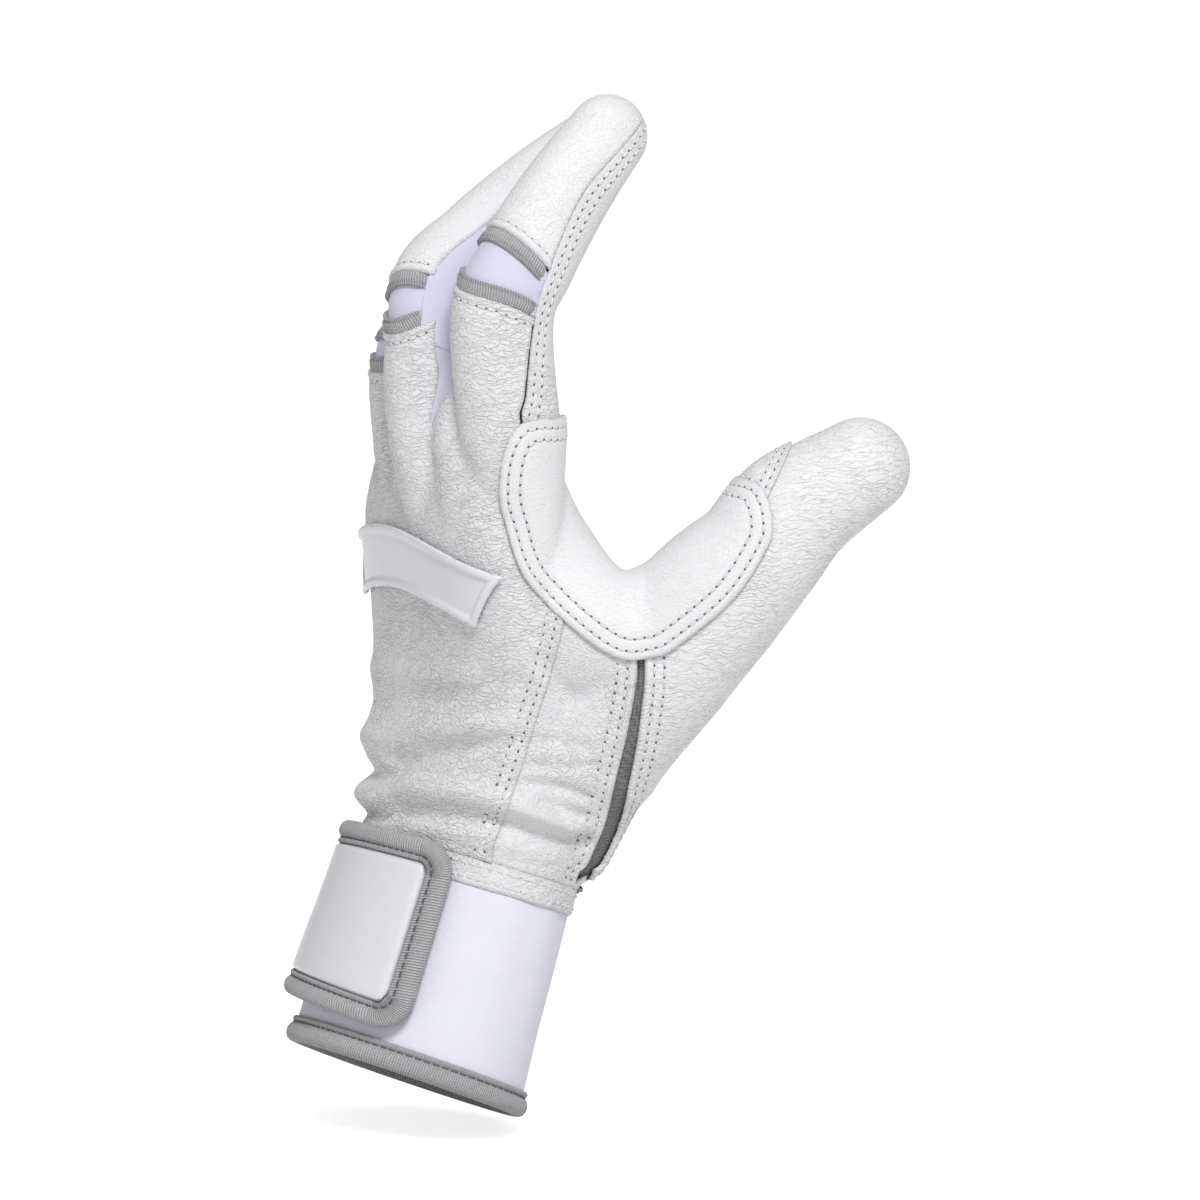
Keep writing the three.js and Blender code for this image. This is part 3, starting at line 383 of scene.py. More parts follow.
@dataclass
class Tube:
    """Ovals of changing size along a rounded centreline."""

    stations: List[Station]
    wide_axis: Array
    tip: float = 0.0

    def value(self, name: str, share: Array) -> Array:
        """Returns a section value at shares of the stations."""
        given = np.array([getattr(s, name) for s in self.stations])
        return np.interp(share * (len(given) - 1), np.arange(len(given)), given)

    def centre(self, share: Array) -> Points:
        """Returns centreline places at shares of the stations."""
        at = np.array([s.at for s in self.stations])
        last = len(at) - 1
        rows = []
        for t in np.atleast_1d(share):
            k = min(int(t * last), last - 1)
            part = t * last - k
            p1, p2 = at[k], at[k + 1]
            p0 = at[k - 1] if k > 0 else 2 * at[0] - at[1]
            p3 = at[k + 2] if k + 2 <= last else 2 * at[last] - at[last - 1]
            rows.append(self._between(p0, p1, p2, p3, part))
        return np.array(rows)

    @staticmethod
    def _between(p0: Array, p1: Array, p2: Array, p3: Array, t: float) -> Array:
        """Returns the point at share t of the even-paced curve from p1 to p2."""
        legs = ((p0, p1), (p1, p2), (p2, p3))
        d0, d1, d2 = (max(float(np.linalg.norm(b - a)) ** 0.5, 1e-6) for a, b in legs)
        t1 = ((p1 - p0) / d0 - (p2 - p0) / (d0 + d1) + (p2 - p1) / d1) * d1
        t2 = ((p2 - p1) / d1 - (p3 - p1) / (d1 + d2) + (p3 - p2) / d2) * d1
        return p1 + t1 * t + (3 * (p2 - p1) - 2 * t1 - t2) * t**2 + (2 * (p1 - p2) + t1 + t2) * t**3

    def frame(self, share: float) -> Tuple[Array, Array, Array, Array]:
        """Returns the centre and the along, wide and thick ways at a share."""
        ends = self.centre(np.array([max(share - 1e-3, 0.0), share, min(share + 1e-3, 1.0)]))
        along = unit(ends[2] - ends[0])
        turn = -math.radians(float(self.value("turn", np.array([share]))[0]))
        axis = np.array(Matrix.Rotation(turn, 3, "Z") @ Vector(self.wide_axis))
        wide = unit(axis - along * (axis @ along))
        return ends[1], along, wide, np.cross(wide, along)

    def surface(self, lift: float = 0.0) -> BMesh:
        """Returns the tube's closed skin in millimetres."""
        steps = 6 * (len(self.stations) - 1)
        shares = np.linspace(0.0, 1.0, steps + 1)
        caps = 8
        frames = [self.frame(float(s)) for s in shares]
        thick = self.value("thick", shares) + lift
        wide = self.value("wide", shares) + lift
        fold = self.value("fold", shares)
        square = self.value("square", shares)
        tip = self.tip + lift if self.tip > 0 else 1.0
        rows = steps + 1 + 2 * caps

        def place(around: Array, along: Array) -> Points:
            """Returns skin points for shares around and along the tube."""
            row = np.rint(along * (rows - 1)).astype(int)
            k = np.clip(row - caps, 0, steps)
            end = np.clip(row - caps - steps, 0, caps) / caps
            start = np.clip(caps - row, 0, caps) / caps
            shrink = np.cos(end * math.pi / 2) * np.cos(start * math.pi / 2)
            push = tip * np.sin(end * math.pi / 2) - np.sin(start * math.pi / 2) * 4.0
            angle = around * 2 * math.pi
            lifted = fold[k] * np.maximum(0.0, np.cos(angle + math.radians(SIDE_TURN)))
            power = 2.0 / square[k]
            c, s = np.cos(angle), np.sin(angle)
            first = (thick[k] + lifted) * np.sign(c) * np.abs(c) ** power * shrink
            second = (wide[k] + lifted) * np.sign(s) * np.abs(s) ** power * shrink
            at = np.array([f[0] for f in frames])[k]
            ways = [np.array([f[j] for f in frames])[k] for j in (1, 2, 3)]
            return at + ways[0] * push[:, None] + ways[1] * second[:, None] + ways[2] * first[:, None]

        return wrapped_grid(56, rows - 1, place, weld=0.01)


@dataclass
class Finger:
    """Sizes of one finger stall, in millimetres and degrees.

    low and high are the edges of the knuckle opening, each as the turn of its line about the crease,
    its drop below the crease, its bow across the finger and the place of the bow's top.
    """

    name: str
    row: float
    rise: float
    back: float
    root: float
    length: float
    girth: float
    lean_from: float
    lean_to: float
    body: Body
    splay: float
    low: Tuple[float, float, float, float]
    high: Tuple[float, float, float, float]
    pitch: float = 22.8
    thick: float = 24.6
    wide: float = 20.6
    tip_share: float = 0.78
    knuckle_rise: float = 134.0
    root_rise: float = 72.0
    set_back: float = 12.4
    end_length: float = 51.0

    @property
    def y(self) -> float:
        """Returns the stall's place across the hand."""
        return self.pitch * self.row + 1.0 + self.splay

    def tube(self, wrist: Array) -> Tube:
        """Returns the stall as a tube from the palm to the fingertip."""
        half = np.array([self.thick, self.wide]) / 2 * self.girth

        def station(x: float, z: float, girth: float) -> Station:
            """Returns one section of the stall."""
            return Station(np.array([x, self.y, z]), half[0] * girth, half[1] * girth)

        knuckle = np.array([wrist[0] - self.set_back * self.back, wrist[2] + self.knuckle_rise * self.rise])
        root = np.array([wrist[0] - self.set_back * self.root, wrist[2] + self.root_rise])
        stations = [station(root[0], root[1], 0.5)]
        stations.append(station(root[0] + (knuckle[0] - root[0]) * 0.75, (root[1] + knuckle[1]) / 2, 0.98))
        stations.append(station(knuckle[0], knuckle[1], 1.0))
        x, z = knuckle
        for i in range(4):
            lean = math.radians(self.lean_from + (self.lean_to - self.lean_from) * (i + 0.5) / 4)
            x += self.end_length * self.length / 4 * math.sin(lean)
            z += self.end_length * self.length / 4 * math.cos(lean)
            stations.append(station(x, z, 1 - (1 - self.tip_share) * ((i + 1) / 4) ** 1.3))
        return Tube(stations, THUMB_WARD, half[0] * self.tip_share)

    def crease(self, wrist: Array) -> Tuple[Array, Array, Array]:
        """Returns the crease under the knuckle and the ways to the back and along."""
        tube = self.tube(wrist)
        at, along, _, thick = tube.frame(KNUCKLE_SHARE)
        return at - thick * (self.thick / 2 * self.girth + 0.5), thick, along


@dataclass
class HandForm:
    """The whole filled skin of the glove, from the wrist seam to the fingertips."""

    wrist_height: float = 46.8
    mouth: Tuple[float, float] = (51.0, 67.0)
    top: Tuple[float, float] = (48.0, 64.0)
    voxel: float = 0.95
    palm_shares: Sequence[Sequence[float]] = (
        (0.0, 0.06, 1.05, 0.775, 0), (0.09, 0.11, 1.01, 0.805, 0), (0.175, 0.13, 0.91, 0.845, 0),
        (0.245, 0.15, 0.86, 0.87, 0), (0.315, 0.17, 0.81, 0.89, 0), (0.37, 0.18, 0.77, 0.905, 0),
        (0.45, 0.15, 0.71, 0.92, 1), (0.625, 0.04, 0.67, 0.945, 5), (0.795, -0.1, 0.62, 0.935, 8),
        (0.945, -0.1, 0.52, 0.9, 12), (1.0, -0.1, 0.4, 0.82, 12),
    )
    thumb_shares: Sequence[Sequence[float]] = (
        (-0.04, -0.055, -0.105, 0.7, 0.62), (0.0, 0.0, 0.0, 0.78, 0.8), (0.046, 0.16, 0.205, 1.0, 1.0),
        (0.294, 0.436, 0.469, 0.97, 1.0), (0.498, 0.653, 0.659, 0.89, 0.97), (0.619, 0.762, 0.758, 0.79, 0.9),
        (0.743, 0.845, 0.8765, 0.78, 0.84), (1.0, 1.0, 1.0, 0.64, 0.77),
    )
    web_shares: Sequence[Sequence[float]] = (
        (-0.415, 0.122, 1.125, 0.62), (-0.356, 0.111, 0.926, 0.9), (-0.2, 0.118, 0.709, 1.0),
        (-0.044, 0.264, 0.563, 1.0), (0.161, 0.393, 0.516, 1.0), (0.452, 0.596, 0.618, 0.9),
    )
    pads: Sequence[Sequence[Sequence[float]]] = (
        ((14.0, -23.0, 102, 9.0, 7.0), (11.0, -23.0, 118, 10.0, 9.0), (7.6, -23.0, 132, 10.5, 9.0),
         (5.2, -22.5, 145, 10.5, 8.5), (5.8, -22.0, 155, 9.0, 7.0), (7.5, -21.5, 163, 6.0, 4.5)),
        ((16.0, -9.0, 96, 9.0, 9.0), (13.0, -9.0, 110, 10.5, 9.5), (8.2, -9.0, 124, 11.3, 10.0),
         (3.6, -9.3, 140, 12.0, 10.0), (1.0, -10.0, 157, 12.0, 10.0), (1.4, -10.3, 170, 11.8, 9.6)),
        ((15.0, 1.0, 98, 9.0, 8.0), (11.5, 1.0, 114, 10.0, 8.0), (7.6, 1.0, 130, 10.0, 8.0),
         (6.2, 1.0, 147, 9.0, 7.0),
         (9.0, 1.0, 158, 6.0, 4.0)),
    )
    fingers: List[Finger] = field(default_factory=lambda: [
        Finger("index", -1.5, 0.982, 0.69, 0.1, 0.92, 1.0, 28, 43, Body.INDEX, -0.5, (14, 5.4, 0.03, -4.5),
               (33, -4.1, 0, 0)),
        Finger("middle", -0.5, 1.0, 1.0, 0.8, 1.0, 1.0, 46, 58, Body.MIDDLE, -0.1, (-28, 2.8, 0.04, 0),
               (-2, -2.0, -0.02, -8)),
        Finger("ring", 0.5, 0.872, 0.41, 0.3, 0.98, 0.96, 36, 48, Body.RING, 0.1, (-10.6, 2.0, 0.03, 0),
               (11, -0.6, 0, 0)),
        Finger("little", 1.5, 0.775, -0.54, -0.42, 0.78, 0.84, 23, 41, Body.LITTLE, 0.2, (-19, 0, 0, 0),
               (13, 0, 0, 0)),
    ])
    points: Points = field(default_factory=lambda: np.empty((0, 3)))
    skin: Optional[Mesh] = None

    @property
    def wrist(self) -> Array:
        """Returns the centre of the wrist seam."""
        return CUFF_AXIS * self.wrist_height

    def cuff_point(self, angle: Array, height: Array, lift: Array) -> Points:
        """Places points on the cuff.

        Args:
            angle: degrees from the back of the hand towards the thumb.
            height: millimetres up the leaning axis.
            lift: millimetres off the cuff's surface.

        Returns:
            The places in millimetres.
        """
        share = height / self.wrist_height
        lift = lift - self.sunk(height) * np.maximum(np.cos(np.radians(angle)), 0.0)
        thick = (self.mouth[0] + (self.top[0] - self.mouth[0]) * share) / 2 + lift
        wide = (self.mouth[1] + (self.top[1] - self.mouth[1]) * share) / 2 + lift
        turn = np.radians(angle)
        point = np.multiply.outer(np.asarray(height), CUFF_AXIS)
        out_back, out_side = thick * np.cos(turn), wide * np.sin(turn)
        return point + out_back[:, None] * CUFF_BACK + out_side[:, None] * THUMB_WARD

    @staticmethod
    def sunk(height: Array) -> Array:
        """Returns how far the strap's pull draws the cuff's back in, by height."""
        return 1.5 * smooth_step(height, 4.0, 44.0)

    def palm_tube(self) -> Tube:
        """Returns the palm from the wrist to the finger forks."""
        stations = []
        for rise, set_out, thick, wide, turn in self.palm_shares:
            at = self.wrist + np.array([PALM_SET * set_out, 0.0, PALM_RISE * rise])
            square = 2 + 0.6 * min(1.0, rise * 3)
            stations.append(Station(at, PALM_HALF[0] * thick, PALM_HALF[1] * wide, 0.0, turn, square))
        return Tube(stations, THUMB_WARD)

    @staticmethod
    def thumb_stations(rows: Sequence[Sequence[float]], half: Tuple[float, float]) -> List[Station]:
        """Returns sections from rows of reach, spread, rise and the shares of the half sizes."""
        return [
            Station(THUMB_START + THUMB_REACH * row[:3], half[0] * row[3], half[1] * row[-1]) for row in rows
        ]

    def thumb_tube(self) -> Tube:
        """Returns the thumb from its ball to its tip."""
        return Tube(self.thumb_stations(self.thumb_shares, THUMB_HALF), OUT, THUMB_TIP)

    def web_tube(self) -> Tube:
        """Returns the web between the thumb and the index finger."""
        return Tube(self.thumb_stations(self.web_shares, WEB_HALF), OUT)

    def pad_tubes(self) -> List[Tube]:
        """Returns the fillings between the finger roots and on the back below the middle finger."""
        lines = [[Station(np.array(row[:3]), *row[3:]) for row in rows] for rows in self.pads]
        return [Tube(stations, THUMB_WARD) for stations in lines]

    def join(self) -> Mesh:
        """Joins the tubes into one skin of even squares.

        Returns:
            The skin's mesh, in millimetres.
        """
        tubes = [self.palm_tube(), self.thumb_tube(), self.web_tube(), *self.pad_tubes()]
        tubes += [finger.tube(self.wrist) for finger in self.fingers]
        whole = bmesh.new()
        for tube in tubes:
            part = loose_mesh("tube", tube.surface())
            whole.from_mesh(part)
            bpy.data.meshes.remove(part)
        carrier = bpy.data.objects.new("skin_raw", loose_mesh("skin_raw", whole))
        bpy.context.scene.collection.objects.link(carrier)
        remesh = carrier.modifiers.new("even", "REMESH")
        remesh.mode = "VOXEL"
        remesh.voxel_size = self.voxel
        graph = bpy.context.evaluated_depsgraph_get()
        mesh = bpy.data.meshes.new_from_object(carrier.evaluated_get(graph))
        bpy.data.objects.remove(carrier)
        return mesh

    @staticmethod
    def relax(mesh: Mesh, rounds: int, keep: float = 0.53) -> None:
        """Smooths a mesh without shrinking it.

        Args:
            mesh: the mesh to smooth.
            rounds: how many times.
            keep: strength of the step back after each smoothing step.
        """
        edges = np.empty(len(mesh.edges) * 2, dtype=int)
        mesh.edges.foreach_get("vertices", edges)
        a, b = edges[0::2], edges[1::2]
        points = places(mesh)
        count = len(points)
        ways = np.bincount(a, minlength=count) + np.bincount(b, minlength=count)
        for _ in range(rounds):
            for strength in (0.5, -keep):
                total = np.empty_like(points)
                for k in range(3):
                    total[:, k] = np.bincount(a, points[b, k], count) + np.bincount(b, points[a, k], count)
                points = points + strength * (total / ways[:, None] - points)
        set_places(mesh, points)

    def build(self) -> None:
        """Builds the skin and puts the leather's folds into it."""
        mesh = self.join()
        self.relax(mesh, 40, 0.515)
        mesh.update()
        normals = np.empty(len(mesh.vertices) * 3)
        mesh.vertices.foreach_get("normal", normals)
        points = places(mesh)
        points = self.seated(points + normals.reshape(-1, 3) * self.folds(points)[:, None])
        set_places(mesh, points)
        self.relax(mesh, 3)
        self.skin = mesh
        self.points = places(mesh)
        LOG.info("skin: %d faces", len(mesh.polygons))

    def seated(self, points: Points) -> Points:
        """Returns skin places drawn in towards the cuff's surface close above the wrist seam."""
        height = points @ CUFF_AXIS
        rel = points - height[:, None] * CUFF_AXIS
        deep = rel @ CUFF_BACK / (self.top[0] / 2)
        size = np.maximum(np.hypot(deep, rel[:, 1] / (self.top[1] / 2)), 0.5)
        share = 1 - smooth_step(height, self.wrist_height, self.wrist_height + 6.0)
        wanted = 1.03 - 0.06 * np.maximum(deep / size, 0.0)
        return points + rel * (share * (wanted / size - 1))[:, None]

    def folds(self, points: Points) -> Array:
        """Height of the leather's folds.

        Args:
            points: skin places in millimetres.

        Returns:
            Lift along the normal for each place, in millimetres.
        """
        across, up, _ = side_plane(points)
        lift = np.zeros(len(points))
        for row in WRIST_FOLDS:
            line = spline(row.line)
            gap = line_distance(across, up, line)
            fade = smooth_step(-across, -row.fade_to, -row.fade_from)
            lift += row.height * np.exp(-((gap / row.width) ** 2)) * fade
        return lift


@dataclass(frozen=True)
class Fold:
    """One long fold of the skin, drawn on the picture plane."""

    line: Outline
    height: float
    width: float
    fade_from: float
    fade_to: float


WRIST_FOLDS = (
    Fold(((-40, 71.0), (-11.2, 71.5), (3.5, 76.0), (15, 79.0), (27.4, 81.3), (36, 82.5)), 1.9, 3.0, 16.0,
         30.0),
    Fold(((-40, 63.5), (-8.3, 64.0), (-1.8, 68.5), (7.4, 72.5), (17.3, 75.0), (25.8, 77.2), (34, 78.5)),
         -2.3, 2.3, 16.0, 30.0),
    Fold(((-40, 57.5), (-12.0, 58.5), (-0.2, 63.0), (15, 63.5), (22.8, 61.9), (33, 57.5), (41, 54.0)), 2.2,
         2.8, 36.0, 44.0),
    Fold(((-40, 53.0), (-9.4, 54.5), (-0.2, 57.8), (15, 58.0), (24.2, 56.4), (34.3, 52.8), (41, 51.8)),
         -2.1, 2.0, 60.0, 70.0),
    Fold(((-10, 50.5), (5, 52.5), (20, 51.2), (33, 48.0)), 1.1, 2.6, 90.0, 99.0),
    Fold(((-9.0, 87.0), (3.0, 89.0), (14.0, 89.0)), 0.9, 3.2, 90.0, 99.0),
    Fold(((-8.0, 79.5), (4.0, 83.5), (16.0, 87.0), (25.0, 90.0)), -1.0, 2.6, 90.0, 99.0),
    Fold(((27.4, 75.8), (33.6, 75.8), (41.4, 74.4)), -0.8, 1.2, 90.0, 99.0),
    Fold(((28.5, 70.5), (37.0, 69.5), (43.2, 70.5)), -0.9, 1.2, 90.0, 99.0),
    Fold(((26.8, 66.2), (33.6, 65.2), (41.4, 62.7)), -1.1, 1.1, 90.0, 99.0),
    Fold(((31.0, 62.0), (37.0, 59.0), (41.5, 58.0)), -0.9, 1.1, 90.0, 99.0),
)


# Sheets cut from the skin


@dataclass(frozen=True)
class Cut:
    """A cut through the skin: what lies where the field is positive is kept."""

    where: Field
    edge: Edge = Edge.PLAIN


@dataclass
class Sheet:
    """A piece of leather or cloth cut from the skin, with finished edges."""

    name: str
    body: Body
    slot: Slot
    cuts: Sequence[Cut]
    thickness: float = 1.1
    lift: float = 0.0
    roll: float = 0.45
    raise_lapped: float = 0.7
    refine: float = 3.0
    replaces: Sequence[str] = ()
    shape: Optional[BMesh] = None
    piece: Optional[bpy.types.Object] = None

    def cut_from(self, skin: Mesh, points: Points) -> None:
        """Cuts the sheet out of the skin.

        Args:
            skin: the skin's mesh, in millimetres.
            points: the skin's vertex places.
        """
        keep = np.ones(len(points), dtype=bool)
        for cut in self.cuts:
            keep &= cut.where(points) > -2.5
        shape = bmesh.new()
        shape.from_mesh(skin)
        shape.verts.ensure_lookup_table()
        far = [v for v, k in zip(shape.verts, keep) if not k]
        bmesh.ops.delete(shape, geom=far, context="VERTS")
        marks = shape.edges.layers.int.new("edge_kind")
        for cut in self.cuts:
            self._cut(shape, cut, marks)
        bmesh.ops.remove_doubles(shape, verts=shape.verts, dist=0.04)
        crumbs = [v for v in shape.verts if not v.link_faces]
        bmesh.ops.delete(shape, geom=crumbs, context="VERTS")
        self._drop_crumbs(shape)
        self.shape = shape

    @staticmethod
    def _cut(shape: BMesh, cut: Cut, marks: bmesh.types.BMLayerItem) -> None:
        """Splits the faces that the cut crosses and deletes what lies beyond it."""
        points = shape_places(shape)
        if not len(points):
            return
        value = cut.where(points)
        value[np.abs(value) < 0.02] = 0.02
        side = {v: float(f) for v, f in zip(shape.verts, value)}
        fresh = []
        for edge in list(shape.edges):
            a, b = edge.verts
            fa, fb = side[a], side[b]
            if (fa > 0) != (fb > 0):
                _, vert = bmesh.utils.edge_split(edge, a, fa / (fa - fb))
                side[vert] = 0.0
                fresh.append(vert)
        joined = bmesh.ops.connect_verts(shape, verts=fresh, check_degenerate=True)
        for edge in joined["edges"]:
            edge[marks] = cut.edge.value
        beyond = [f for f in shape.faces if sum(side[v] for v in f.verts) < 0]
        bmesh.ops.delete(shape, geom=beyond, context="FACES")

    @staticmethod
    def _drop_crumbs(shape: BMesh) -> None:
        """Deletes every island but the largest."""
        seen = set()
        islands = []
        for face in shape.faces:
            if face in seen:
                continue
            island, open_faces = [], [face]
            seen.add(face)
            while open_faces:
                here = open_faces.pop()
                island.append(here)
                for edge in here.edges:
                    for other in edge.link_faces:
                        if other not in seen:
                            seen.add(other)
                            open_faces.append(other)
            islands.append(island)
        islands.sort(key=len, reverse=True)
        for island in islands[1:]:
            bmesh.ops.delete(shape, geom=island, context="FACES")

    def edge_points(self, kinds: Iterable[Edge]) -> List[Vector]:
        """Returns points along the open edges of the given kinds."""
        marks = self.shape.edges.layers.int["edge_kind"]
        wanted = {kind.value for kind in kinds}
        found = []
        for edge in self.shape.edges:
            if len(edge.link_faces) == 1 and edge[marks] in wanted:
                a, b = (v.co for v in edge.verts)
                found += [a.copy(), b.copy(), (a + b) / 2]
        return found

    def edge_gap(self, kinds: Iterable[Edge]) -> Array:
        """Returns each vertex's distance from the open edges of the given kinds."""
        found = self.edge_points(kinds)
        if not found:
            return np.full(len(self.shape.verts), 99.0)
        tree = KDTree(len(found))
        for k, point in enumerate(found):
            tree.insert(point, k)
        tree.balance()
        return np.array([tree.find(v.co)[2] for v in self.shape.verts])

    def refine_edges(self) -> None:
        """Makes the squares smaller along finished edges."""
        gap = self.edge_gap(FINISHED)
        near = {v for v, g in zip(self.shape.verts, gap) if g < self.refine}
        edges = [e for e in self.shape.edges if e.verts[0] in near and e.verts[1] in near]
        if edges:
            bmesh.ops.subdivide_edges(self.shape, edges=edges, cuts=1, use_grid_fill=True, smooth=0.0)

    def shape_edges(self, rows: Sequence["StitchRow"]) -> None:
        """Rounds and raises the edges and presses the stitch rows in.

        Args:
            rows: the stitch rows, which pull the sheet in a little.
        """
        shape = self.shape
        shape.normal_update()
        lift = np.full(len(shape.verts), self.lift)
        rolled = self.edge_gap(FINISHED)
        share = np.clip(1 - rolled / (2 * self.roll), 0, 1)
        lift -= self.roll * (1 - np.sqrt(np.maximum(1 - share**2, 0)))
        lift += 0.45 * np.exp(-(((self.edge_gap([Edge.ROLLED]) - 0.95) / 0.7) ** 2))
        lapped = self.edge_gap([Edge.LAPPED])
        lift += self.raise_lapped * (1 - smooth_step(lapped, 1.0, 9.0))
        lift -= 0.9 * (1 - smooth_step(self.edge_gap([Edge.TUCKED]), 0.0, 7.0))
        for row in rows:
            gap = self.edge_gap(row.kinds)
            lift -= row.depth * np.exp(-(((gap - row.inset) / 0.55) ** 2))
        push_out(shape, lift)

    def finish(self, material: Material, blend: Optional["Bend"] = None) -> bpy.types.Object:
        """Thickens the sheet and puts it in the scene.

        Args:
            material: its finish.
            blend: where it bends, if it crosses a joint.

        Returns:
            The finished piece.
        """
        gap = self.edge_gap(FINISHED)
        self.piece = shaped_object(self.name, self.shape)
        self.shape = None
        mesh = self.piece.data
        # Distance from the finished edges, which the leather reads to paint shade along them.
        near = mesh.attributes.new("seam_gap", "FLOAT", "POINT")
        near.data.foreach_set("value", np.minimum(gap, 30.0))
        mesh.materials.append(material)
        thicken(self.piece, self.thickness, even=False)
        place_piece(self.piece, self.body, self.replaces, blend)
        return self.piece


@dataclass(frozen=True)
class Bend:
    """Where a piece bends between two bodies, in millimetres."""

    first: Body
    second: Body
    start: Array
    end: Array


def place_piece(
    piece: bpy.types.Object,
    body: Body,
    replaces: Sequence[str] = (),
    bend: Optional[Bend] = None,
) -> None:
    """Ties a piece to its body, or leaves a piece that crosses a joint fixed in the frame on no body, and
    hides the CAD solids it stands for.

    Args:
        piece: the finished piece.
        body: the body it rides on.
        replaces: names of the CAD nodes that it stands for.
        bend: given for a piece that crosses a joint; such a piece rides on no body, and where it would bend
            is not used.
    """
    if bend is None:
        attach(piece, body.value)
    else:
        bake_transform(piece)
    if replaces:
        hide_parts(*replaces)
    LOG.info("%s: %d faces", piece.name, len(piece.data.polygons))


# Stitching


@dataclass(frozen=True)
class StitchRow:
    """A row of stitches that follows the finished edges of a sheet."""

    kinds: Tuple[Edge, ...]
    inset: float
    pitch: float = 2.3
    depth: float = 0.22
    only: Optional[Field] = None


def sewn_rows(kind: Edge, *insets: float, **more: object) -> List[StitchRow]:
    """Returns one stitch row along an edge kind for each inset in millimetres."""
    return [StitchRow((kind,), inset, **more) for inset in insets]


